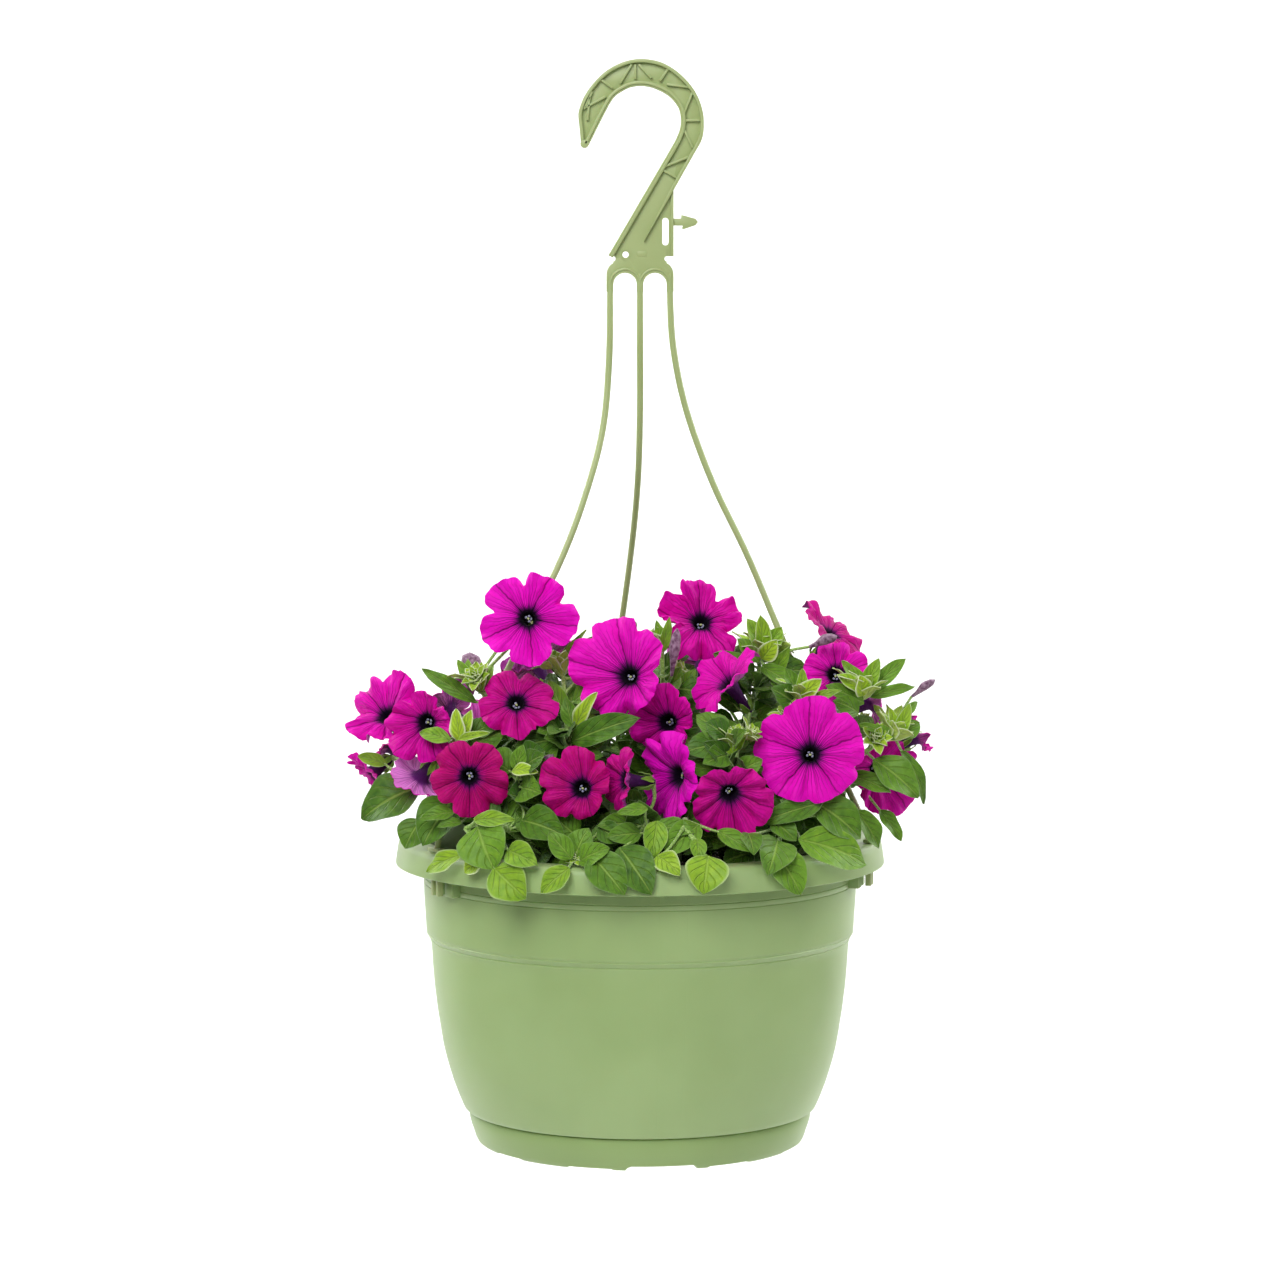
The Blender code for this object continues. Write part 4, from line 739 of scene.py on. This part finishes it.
# Flowers: shoot, middle of the limb, facing, radius, how far its edge stands forward of the
# throat, how far the limb's middle lies right of and above the throat, the angle of one lobe from
# the top (degrees, towards the right), how deep the notches are, how ruffled it is, its tone from
# 0 violet-pink to 1 crimson, and its folds as (angle, forward share of the radius).
FLOWERS = {
    "top_left": ("left_up", (-60, -76, 297), (-0.05, -0.97, 0.2), 26, 3, (0, 0), 28, 0.2, 0.6, 0.1,
                 [(160, 0.3), (65, -0.12)]),
    "left_upper": ("far_left", (-140, -45, 246), (-0.4, -0.65, 0.65), 22, 5, (-3, 3.5), 15, 0.16,
                   0.9, 0.35, [(-60, -0.15), (15, 0.15)]),
    "left": ("far_left", (-118, -72, 238), (-0.35, -0.92, 0.1), 20, 4, (-2.5, -2.5), 6, 0.2, 0.9,
             0.55, [(60, 0.25), (-90, 0.12)]),
    "far_left_low": ("far_left", (-150, -20, 204), (-0.75, -0.3, -0.6), 16, 5, (0, 0), 0, 0.14, 1.0,
                     0.4, []),
    "left_side": ("far_left", (-140, -2, 222), (-0.7, 0.2, 0.6), 15, 5, (0, 0), 0, 0.1, 0.8, 0.6,
                  []),
    "left_turned": ("left_front", (-120, -62, 207), (-0.55, 0.35, -0.75), 17, 4, (0, 0), 0, 0.1,
                    0.6, 0.0, []),
    "left_front": ("left_front", (-90, -96, 213), (0, -1, 0.03), 21, 3, (0.8, -1), 36, 0.14, 0.4,
                   1.0, [(180, -0.08)]),
    "left_middle": ("left_tip", (-65, -77, 252), (0, -0.8, 0.6), 21, 4, (1.2, -1), 36, 0.15, 0.5,
                    0.75, [(90, -0.15), (-90, -0.15)]),
    "behind_top_left": ("left_up", (-63, -32, 268), (0.15, 0.25, -0.95), 13, 8, (0, 0), 0, 0.1, 0.6,
                        0.9, []),
    "centre_left": ("centre_left", (-12, -80, 271), (-0.35, -0.9, 0.2), 27, 4, (-6, 4.5), -12, 0.13,
                    0.6, 0.2, [(-110, 0.12), (100, 0.2)]),
    "centre": ("centre_low", (11, -75, 243), (-0.3, -0.95, 0), 19, 4, (-3.5, 2.5), 5, 0.15, 0.9,
               0.5, [(80, 0.25), (205, -0.2)]),
    "top_centre": ("right_up", (33, -35, 292), (0.1, -0.75, 0.62), 24, 6, (-1, -2), 0, 0.24, 1.3,
                   0.5, [(0, 0.25), (-72, 0.3), (150, -0.25)]),
    "centre_right": ("right_centre", (44, -72, 266), (-0.55, -0.36, 0.75), 22, 9, (0, 0), 10, 0.14,
                     0.7, 0.35, [(180, -0.2), (90, 0.2)]),
    "centre_low": ("centre_low", (13, -90, 212), (-0.78, -0.62, 0), 25, 8, (-4, -1.5), 18, 0.16,
                   0.6, 0.0, [(-90, -0.12)]),
    "front_right": ("centre_right_low", (49, -108, 201), (0.05, -0.95, -0.3), 22, 4, (1.6, -5), 28,
                    0.15, 0.5, 0.7, [(100, 0.1)]),
    "right_large": ("right", (90, -88, 227), (0, -0.95, 0.3), 29, 3, (-0.8, 1.5), 0, 0.08, 0.35,
                    0.2, []),
    "front_left": ("left_tip", (-35, -108, 212), (-0.15, -0.98, 0.1), 19, 3, (-4.2, 2.8), 5, 0.14,
                   0.5, 0.9, []),
    "front_side": ("centre_low", (-11, -110, 214), (-0.9, -0.4, 0.1), 18, 5, (0, 0), 0, 0.14, 0.8,
                   0.8, [(90, 0.2)]),
    "top_right": ("right_up", (107, -4, 286), (0.5, -0.25, 0.83), 21, 6, (0, 0), 0, 0.14, 0.8,
                  0.8, [(-60, 0.15), (170, -0.5)]),
    "right_upper": ("right_far_up", (107, -38, 264), (0.1, -0.85, 0.5), 19, 4, (0, 0), 0, 0.14, 0.6,
                    0.3, []),
    "far_right": ("far_right", (136, -40, 206), (0.45, -0.88, 0.05), 21, 4, (6, -5.5), 0, 0.14, 0.6,
                  0.4, []),
    "right_tip": ("far_right", (154, -14, 228), (0.8, 0.2, 0.5), 12, 5, (0, 0), 0, 0.25, 1.4, 0.5,
                  []),
    "back_left": ("back_left", (-110, 32, 238), (-0.75, 0.45, 0.5), 23, 4, (2, 1), 12, 0.14, 0.6,
                  0.3, []),
    "back_far_left": ("back_far_left", (-92, 98, 214), (-0.6, 0.78, 0.2), 22, 4, (-2, 2), 30, 0.15,
                      0.6, 0.5, [(90, 0.15)]),
    "back_top_left": ("crown", (-58, 52, 264), (-0.4, 0.55, 0.72), 23, 4, (0, 3), 50, 0.13, 0.6,
                      0.2, []),
    "back": ("back", (22, 108, 216), (0.1, 0.98, 0.1), 22, 4, (3, -2), 0, 0.14, 0.5, 0.6, []),
    "back_top_right": ("back", (38, 62, 264), (0.3, 0.6, 0.72), 23, 4, (-2, 2), 20, 0.14, 0.7, 0.3,
                       [(180, -0.15)]),
    "back_right": ("back_right", (98, 70, 212), (0.7, 0.68, 0.15), 22, 4, (1, 3), 40, 0.12, 0.5,
                   0.7, []),
    "back_far_right": ("back_far_right", (130, 18, 244), (0.85, 0.25, 0.45), 21, 4, (-3, 1), 0,
                       0.14, 0.6, 0.2, []),
    "back_low": ("back_far_left", (-50, 130, 194), (-0.25, 0.95, -0.1), 19, 4, (2, 2), 0, 0.14, 0.5,
                 0.5, []),
}

PETAL_STEPS = 120


def joint_on(path, place, towards):
    """The place on a stem from which a stalk reaches here with the least length and bend."""
    places = [a.lerp(b, k / 4) for a, b in zip(path, path[1:]) for k in range(4)] + [path[-1]]

    def strain(joint):
        stalk = place - joint
        return stalk.length * (1.3 - stalk.normalized().dot(towards))

    return min(places[len(places) // 4:], key=strain)


BREADTH = 1.16               # of a blade laid flat, to its breadth as it lies folded and turned


def leaf_width(share):
    """How wide a leaf is at a share of its length, as a part of its greatest width."""
    return max(0.0, sin(pi * share ** 0.82)) ** 0.72


def add_leaf(bm, blade, base, tip, width, age, chance, face=None, fine=True):
    """A leaf blade with a folded midrib, an arched length and waved margins, and its two faces."""
    along = (tip - base).normalized()
    length = (tip - base).length
    if face is None:
        outward = Vector((base.x, base.y, 0)).normalized()
        face = Vector((outward.x * 0.35, -0.9, 0.45))
        if base.y > 0:
            face = Vector((outward.x * 0.7, outward.y * 0.7, 0.8))
    face += Vector([chance.uniform(-0.14, 0.14) for _ in range(3)])
    face = (face - face.dot(along) * along).normalized()
    side = along.cross(face)
    fold = radians(chance.uniform(10, 24))
    droop = chance.uniform(0.05, 0.13)
    wave = chance.uniform(0.02, 0.05)
    phase = chance.uniform(0, 6)
    columns, rows = (6, 11) if fine else (4, 7)
    made = bmesh.ops.create_grid(bm, x_segments=columns, y_segments=rows, size=1.0)["verts"]
    for vert in made:
        across, share = vert.co.x, (vert.co.y + 1) / 2
        half = max(leaf_width(share) * width * BREADTH / 2 * MM, (0.5 - 0.4 * share) * MM)
        margin = abs(across) * half
        lift = droop * length * 4 * share * (1 - share)
        ripple = wave * length * across * across * sin(share * 11 + phase + across * 1.5)
        vert.co = (base + along * length * share + side * across * half * cos(fold)
                   + face * (lift + margin * sin(fold) + ripple))
        vert[blade] = (across, share, age)
    faces = list({f for vert in made for f in vert.link_faces})
    for f in faces:
        f.normal_update()
    if sum(f.normal.dot(face) for f in faces) < 0:
        bmesh.ops.reverse_faces(bm, faces=faces)
    thicken(bm, faces, LEAF_SHEET)


# How long the longest leaf of each open growth tip is; a shoot that ends hidden has none.
GROWTH_TIPS = {"left_up": 19, "left_front": 15, "centre_left": 17, "rosette": 10,
               "right_centre": 16, "centre_up": 18, "right_up": 22, "right": 18,
               "right_far_up": 22, "far_right": 21,
               "back_left": 17, "back_far_left": 17, "back": 18, "back_right": 17,
               "back_far_right": 17, "crown": 18}


def surfaces(pieces):
    """One search tree of the faces of several pieces."""
    joined = bmesh.new()
    for piece in pieces:
        joined.from_mesh(piece.data)
    tree = BVHTree.FromBMesh(joined)
    joined.free()
    return tree


def in_the_way(solids, build):
    """Whether what a function builds would touch the pot, the hanger or a flower."""
    probe = bmesh.new()
    build(probe, probe.verts.layers.float_vector.new("blade"))
    tree = BVHTree.FromBMesh(probe)
    probe.free()
    return bool(solids.overlap(tree))


def add_growth_tip(bm, blade, place, heading, size, seed, solids):
    """The newest leaves at a shoot's end: a whorl that opens round the bud."""
    chance = Random(seed)
    side = heading.orthogonal().normalized()
    up = heading.cross(side)
    for k in range(18):
        angle = GOLDEN_ANGLE * k
        away = side * cos(angle) + up * sin(angle)
        lean = (heading + away * (0.1 + 0.08 * k)).normalized()
        length = size * (0.5 + 0.032 * k) * chance.uniform(0.8, 1.15) * MM
        foot = place - heading * (0.25 * k * size / 18) * MM
        age = chance.uniform(0.8, 1.0)

        def leaf(mesh, layer):
            add_leaf(mesh, layer, foot + away * 0.5 * MM, foot + lean * length,
                     size * (0.28 + 0.01 * k), age, Random(seed * 50 + k),
                     face=heading - away * 0.6, fine=False)

        if not in_the_way(solids, leaf):
            leaf(bm, blade)


def add_bud(bm, base, tip, width, material):
    """A long closed bud, or a wilted flower that has closed and twisted, both built as the same
    untwisted tube.
    """
    middle = base.lerp(tip, 0.55) + UP * 0.6 * MM
    path = smooth_path([base, base.lerp(tip, 0.25), middle, base.lerp(tip, 0.85), tip], 3)
    ring_radii = [0.8, width * 0.25, width * 0.5, width * 0.4, 0.4]
    tube(bm, path, ring_radii, 10, material)


# How far back a leaf may be moved to lie clear; forwards when negative.
LEAF_STEPS = (0, -2, 2, -4, 4, -6, 6, -8, 8, -11, 11)


def along_stem(path, share):
    """The place at a share of a stem's length."""
    place = share * (len(path) - 1)
    return path[int(place)].lerp(path[min(int(place) + 1, len(path) - 1)], place - int(place))


def leaves_by_rule(path, chance):
    """Leaves of a shoot that spiral up its stem, larger and more drooping towards the soil."""
    leaves = []
    count = 20
    for k in range(count):
        share = 0.2 + 0.78 * k / (count - 1)
        root = along_stem(path, share)
        axis = (path[-1] - path[0]).normalized()
        side = axis.cross(UP).normalized()
        up = side.cross(axis)
        angle = GOLDEN_ANGLE * k
        away = side * cos(angle) + up * sin(angle)
        outward = Vector((root.x, root.y, 0)).normalized()
        lean = (away + outward * 0.7 + Vector((0, 0, 0.9 * share - 0.5))).normalized()
        length = (32 - 14 * share) * chance.uniform(0.85, 1.15) * MM
        leaves.append((root + lean * 6 * MM, root + lean * (6 * MM + length), 20 - 10 * share,
                       share * 0.5 * chance.random()))
    return leaves


def under_the_top(place):
    """Whether a place lies inside the mound, which is highest a little right of the middle."""
    x, y, height = place.x / MM, place.y / MM, place.z / MM + SEAT_HEIGHT
    return height < 286 - 0.0034 * (x - 20) ** 2 - 0.0036 * y ** 2


def inner_leaves(path, chance):
    """Older leaves down inside the mound, all the way along the stem."""
    leaves = []
    for _ in range(100):
        root = along_stem(path, chance.uniform(0.1, 1.0))
        angle = chance.uniform(0, 2 * pi)
        lean = Vector((cos(angle), sin(angle), chance.uniform(-0.15, 0.9))).normalized()
        length = chance.uniform(14, 28) * MM
        tip = root + lean * (5 * MM + length)
        reach = max(from_axis(root)[0], from_axis(tip)[0])
        above = min(root.z, tip.z) > level(ABOVE_RIM)
        if under_the_top(tip) and reach < (RIM_REACH if above else WALL_REACH):
            leaves.append((root + lean * 5 * MM, tip, chance.uniform(9, 18),
                           chance.uniform(0.0, 0.35)))
    return leaves


def flower_edge(angle, lobe, notch, seed):
    """A limb's reach at an angle, as a share of its radius: five uneven lobes, narrow notches."""
    off = (angle - lobe) % LOBE
    to_notch = LOBE / 2 - min(off, LOBE - off)
    cut = exp(-((to_notch / 0.10) ** 2)) + 0.35 * exp(-to_notch / 0.22)
    spot = Vector((cos(angle), sin(angle), seed * 1.7))
    return (1 - notch * cut + 0.09 * noise.noise(spot * 1.6) + 0.035 * noise.noise(spot * 5.5)
            + 0.02 * noise.noise(spot * 13))


def make_flower(name, spec, seed):
    """A trumpet flower: limb, throat, tube, stamens, sepals and a stalk to its shoot."""
    shoot, middle, facing, radius, cup, drift, lobe_angle, notch, ruffle, tone, folds = spec
    chance = Random(seed)
    centre = at(*middle)
    facing = Vector(facing).normalized()
    # Local axes: x to the flower's right as seen from in front, y up, z the way it faces.
    across = UP.cross(facing).normalized()
    turn = Matrix((across, facing.cross(across), facing)).transposed().to_4x4()
    # The throat often lies off the limb's middle, by this much in the limb's plane.
    drift = Vector((*drift, 0))
    throat = centre - facing * cup * MM - turn.to_3x3() @ drift * MM
    matrix = Matrix.Translation(throat) @ turn
    length = radius * TUBE_LENGTH
    bm = bmesh.new()
    petal = bm.verts.layers.float_vector.new("petal")
    tube_profile = [(1.5, -length), (1.9, -length * 0.8), (2.2, -length * 0.6),
                    (2.6, -length * 0.4), (3.0, -length * 0.24), (3.4, -length * 0.12), (3.7, -1.0)]
    rows = 13
    limb_profile = []
    for k in range(rows + 1):
        share = k / rows
        limb_profile.append((THROAT + (radius - THROAT) * share, cup * share ** 0.55 + 0.3))
    profile = [Vector((r * MM, 0, z * MM)) for r, z in tube_profile + limb_profile]
    corners = [bm.verts.new(place) for place in profile]
    edges = [bm.edges.new(pair) for pair in zip(corners, corners[1:])]
    bmesh.ops.spin(bm, geom=corners + edges, cent=(0, 0, 0), axis=(0, 0, 1), angle=2 * pi,
                   steps=PETAL_STEPS, use_merge=True)
    bmesh.ops.remove_doubles(bm, verts=bm.verts, dist=0.00001)
    lobe = radians(lobe_angle)
    phase = chance.uniform(0, 6)
    for vert in bm.verts:
        reach = from_axis(vert.co)[0]
        angle = atan2(vert.co.x, vert.co.y)
        flat = max(0.0, (reach - THROAT) / (radius - THROAT))
        from_lobe = (angle - lobe + LOBE / 2) % LOBE - LOBE / 2
        if vert.co.z / MM > 0.2:
            grown = THROAT + (radius * flower_edge(angle, lobe, notch, seed) - THROAT) * flat
            spot = Vector((2.2 * sin(angle), 2.2 * cos(angle), seed + flat * 0.8))
            lift = ruffle * radius * flat ** 1.5 * (0.36 * noise.noise(spot)
                                                    + 0.15 * noise.noise(spot * 3.1)
                                                    + 0.05 * noise.noise(spot * 6.5))
            # Each lobe sinks along its own main vein and where it meets the next.
            lift -= 0.075 * radius * cos(10 * (angle - lobe)) * flat * (1.25 - 0.5 * flat)
            lift -= 0.04 * radius * exp(-(from_lobe / 0.06) ** 2) * flat ** 0.5 * (1.15 - flat)
            lift += 0.09 * radius * flat ** 2 * cos(2 * angle + phase)
            lift -= (0.09 + 0.08 * noise.noise(spot * 1.7)) * radius * flat ** 6
            for fold_angle, amount in folds:
                facing_it = max(0.0, cos(angle - radians(fold_angle))) ** 2
                lift += amount * radius * facing_it * flat ** 1.8
            vert.co.x = (grown * sin(angle) + drift.x * flat) * MM
            vert.co.y = (grown * cos(angle) + drift.y * flat) * MM
            vert.co.z += lift * MM
            share = flat * 0.8 + 0.2
        else:
            share = 0.2 * reach / THROAT
        local = angle - lobe
        vert[petal] = (share * sin(local), share * cos(local), tone)
    bmesh.ops.recalc_face_normals(bm, faces=bm.faces)
    if sum(f.normal.z * f.calc_area() for f in bm.faces) < 0:
        bmesh.ops.reverse_faces(bm, faces=bm.faces)
    thicken(bm, list(bm.faces), PETAL_SHEET)
    bmesh.ops.transform(bm, matrix=matrix, verts=bm.verts)
    # Stamens in the throat: four pale anthers round a green stigma.
    for k in range(5):
        angle = LOBE * k + phase
        spot = Vector((1.5 * cos(angle), 1.5 * sin(angle), -1.6 - 0.5 * (k % 2))) * MM
        if k == 4:
            spot = Vector((0, 0, -0.8)) * MM
        squash = Matrix.Diagonal((1.0, 1.35, 0.8, 1.0))
        where = matrix @ Matrix.Translation(spot) @ Matrix.Rotation(angle, 4, "Z") @ squash
        made = bmesh.ops.create_uvsphere(bm, u_segments=8, v_segments=6, radius=0.62 * MM,
                                         matrix=where)["verts"]
        for f in {f for vert in made for f in vert.link_faces}:
            f.material_index = 4 if k == 4 else 3
    # Five narrow sepals round the foot of the tube, then the stalk.
    tail = throat - facing * length * MM
    path = STEM_PATHS[shoot]
    joint = joint_on(path, tail, facing)
    blade = bm.verts.layers.float_vector.new("blade")
    for k in range(5):
        angle = LOBE * k + 0.4
        away = matrix.to_3x3() @ Vector((cos(angle), sin(angle), 0))
        start = tail + away * 1.2 * MM
        end = tail + facing * 9.5 * MM + away * 4.6 * MM
        before = set(bm.faces)
        add_leaf(bm, blade, start, end, 2.8, 0.5, chance, face=away.copy(), fine=False)
        for f in set(bm.faces) - before:
            f.material_index += 5
    bend = tail.lerp(joint, 0.45) - facing * 3 * MM
    stalk = smooth_path([tail + facing * 0.8 * MM, bend, joint], 5)
    tube(bm, stalk, [1.7, 1.0, 0.9, 0.9, 1.0], 8, 2)
    return finish_piece(f"petunia_flower_{name}", bm,
                        [PETAL, PETAL_BACK, STEM, ANTHER, STIGMA, LEAF_TOP, LEAF_BACK],
                        [f"flower_{name}"], 60)


def over_a_flower(blooms, base, tip):
    """Whether a leaf from base to tip would grow close over a flower's face."""
    inward = Vector((0, 1 if base.y < 0 else -1, 0))
    return any(blooms.ray_cast(base.lerp(tip, share), inward, 50 * MM)[0]
               for share in (0.2, 0.6, 1))


def add_side_tips(bm, blade, path, heading, size, seed, solids, blooms):
    """Short side shoots near a stem's end, where no flower's face is behind them."""
    across = heading.cross(UP).normalized()
    for back, lean in ((3, -1), (6, 1)):
        ahead = (heading * 0.5 + across * lean + UP * 0.5).normalized()
        foot = path[-back]
        end = foot + ahead * 11 * MM
        if not over_a_flower(blooms, foot, end + ahead * size * MM):
            tube(bm, smooth_path([foot, foot.lerp(end, 0.5) + UP * MM, end], 3), [0.9, 0.7], 6, 2)
            add_growth_tip(bm, blade, end, ahead, size, seed + back, solids)


def make_shoot(name, rows, seed, solids, blooms):
    """A shoot: its hairy stem, its leaves on their stalks, its growth tip and its buds."""
    chance = Random(seed)
    path = STEM_PATHS[name]
    bm = bmesh.new()
    blade = bm.verts.layers.float_vector.new("blade")
    tube(bm, path, [1.9, 1.7, 1.5, 1.1], 8, 2)
    leaves = [(at(*row[:3]), at(*row[3:6]), row[6], row[7]) for row in rows]
    if not rows:
        leaves = leaves_by_rule(path, chance)
    shown = len(leaves)
    leaves += inner_leaves(path, chance)
    for k, (base, tip, width, age) in enumerate(leaves):
        listed = k < len(rows)
        too_low = min(base.z, tip.z) < level(LOWEST_LEAF)
        if not listed and (too_low or over_a_flower(blooms, base, tip)):
            continue

        def leaf(mesh, layer):
            add_leaf(mesh, layer, base + shift, tip + shift, width, age, Random(seed * 100 + k),
                     fine=k < shown)

        # A listed leaf that would touch something lies further forward or back instead.
        for step in LEAF_STEPS if listed else (0,):
            shift = Vector((0, step * MM, 0))
            if not in_the_way(solids, leaf):
                break
        else:
            continue
        foot = base + shift
        ahead = (tip + shift - foot).normalized()
        start = joint_on(path, foot, ahead)
        bend = start.lerp(foot, 0.6) + ahead * min(2.0, (foot - start).length / MM * 0.15) * MM
        if (foot - start).length > 1.5 * MM:
            tube(bm, smooth_path([start, bend, foot + ahead * MM], 3), [0.9, 0.75, 0.6], 6, 2)
        leaf(bm, blade)
    if name in GROWTH_TIPS:
        heading = (path[-1] - path[-3]).normalized()
        add_growth_tip(bm, blade, path[-1] - heading * MM, (heading + UP * 0.6).normalized(),
                       GROWTH_TIPS[name], seed, solids)
        if GROWTH_TIPS[name] > 15:
            add_side_tips(bm, blade, path, heading, GROWTH_TIPS[name] * 0.7, seed, solids, blooms)
    for shoot, base, tip, width, wilted in BUDS:
        if shoot == name:
            foot = at(*base)
            start = joint_on(path, foot, (at(*tip) - foot).normalized())
            stalk = smooth_path([start, start.lerp(foot, 0.5) + UP * MM, foot], 3)
            tube(bm, stalk, [0.8, 0.8], 6, 2)
            add_bud(bm, foot, at(*tip), width, 3 if wilted else 2)
    return finish_piece(f"petunia_shoot_{name}", bm, [LEAF_TOP, LEAF_BACK, STEM, WILTED],
                        [f"shoot_{name}"], 70)


# ------------------------------------------------------------------ the whole object

pot = make_pot()
make_saucer()
make_soil()
hanger = make_hanger()

STEM_PATHS = {name: smooth_path([at(*point) for point in points], 7)
              for name, (points, _) in SHOOTS.items()}
flowers = [make_flower(name, spec, seed) for seed, (name, spec) in enumerate(FLOWERS.items())]

solids = surfaces([pot, hanger, *flowers])
blooms = surfaces(flowers)
for seed, (name, (_, rows)) in enumerate(SHOOTS.items()):
    make_shoot(name, rows, seed + 50, solids, blooms)


# ------------------------------------------------------------------ floor, light and camera


def make_backdrop():
    """A pale seamless floor that sweeps up behind."""
    bm = bmesh.new()
    floor = -1.6
    path = [(-7.0, floor), (1.6, floor)]
    path += [(1.6 + 0.8 * sin(a), floor + 0.8 - 0.8 * cos(a)) for a in
             [radians(90) * k / 12 for k in range(1, 13)]]
    path.append((2.4, 2.6))
    rows = [bm.verts.new((-6.0, y, z)) for y, z in path]
    edges = [bm.edges.new(pair) for pair in zip(rows, rows[1:])]
    made = bmesh.ops.extrude_edge_only(bm, edges=edges)["geom"]
    bmesh.ops.translate(bm, verts=[v for v in made if isinstance(v, bmesh.types.BMVert)],
                        vec=(12.0, 0, 0))
    bmesh.ops.recalc_face_normals(bm, faces=bm.faces)
    backdrop = as_object("studio_floor", bm)
    backdrop.data.shade_smooth()
    # Matt paper: an even white that takes soft shadows.
    paper, _ = new_material("matt_white_paper", 0.9, Base_Color=linear("#fbfbfb"))
    backdrop.data.materials.append(paper)


def add_light(name, place, target, size, power):
    """A square white softbox of this many watts, turned to a target."""
    data = bpy.data.lights.new(name, "AREA")
    data.shape = "RECTANGLE"
    data.size, data.size_y = size
    data.energy = power
    lamp = bpy.data.objects.new(name, data)
    lamp.location = place
    lamp.rotation_euler = (Vector(target) - Vector(place)).to_track_quat("-Z", "Y").to_euler()
    bpy.context.scene.collection.objects.link(lamp)


make_backdrop()
middle = (0, 0, -0.42)
behind = (0, 2.4, -0.2)
add_light("key_softbox", (-0.55, -1.85, 1.0), middle, (1.4, 1.3), 41)
add_light("fill_softbox", (1.4, -1.4, 0.2), middle, (1.2, 1.4), 5)
add_light("top_softbox", (0.1, 0.3, 1.5), middle, (1.6, 1.6), 13)
add_light("backdrop_left", (-2.0, 0.9, 0.8), behind, (1.0, 1.5), 60)
add_light("backdrop_right", (2.0, 0.9, 0.8), behind, (1.0, 1.5), 60)

world = bpy.data.worlds.new("studio_world")
bpy.context.scene.world = world
world.use_nodes = True
sky = world.node_tree.nodes["Background"]
sky.inputs["Color"].default_value = (1, 1, 1, 1)
sky.inputs["Strength"].default_value = 0.12

camera_data = bpy.data.cameras.new("camera")
camera_data.lens = 120.0
camera_data.sensor_width = 36.0
camera = bpy.data.objects.new("camera", camera_data)
camera.location = (0.0, -2.3474, level(487.8))
camera.rotation_euler = (radians(90 - 5.1), 0.0, 0.0)
bpy.context.scene.collection.objects.link(camera)
bpy.context.scene.camera = camera
bpy.context.scene.view_settings.view_transform = "Standard"
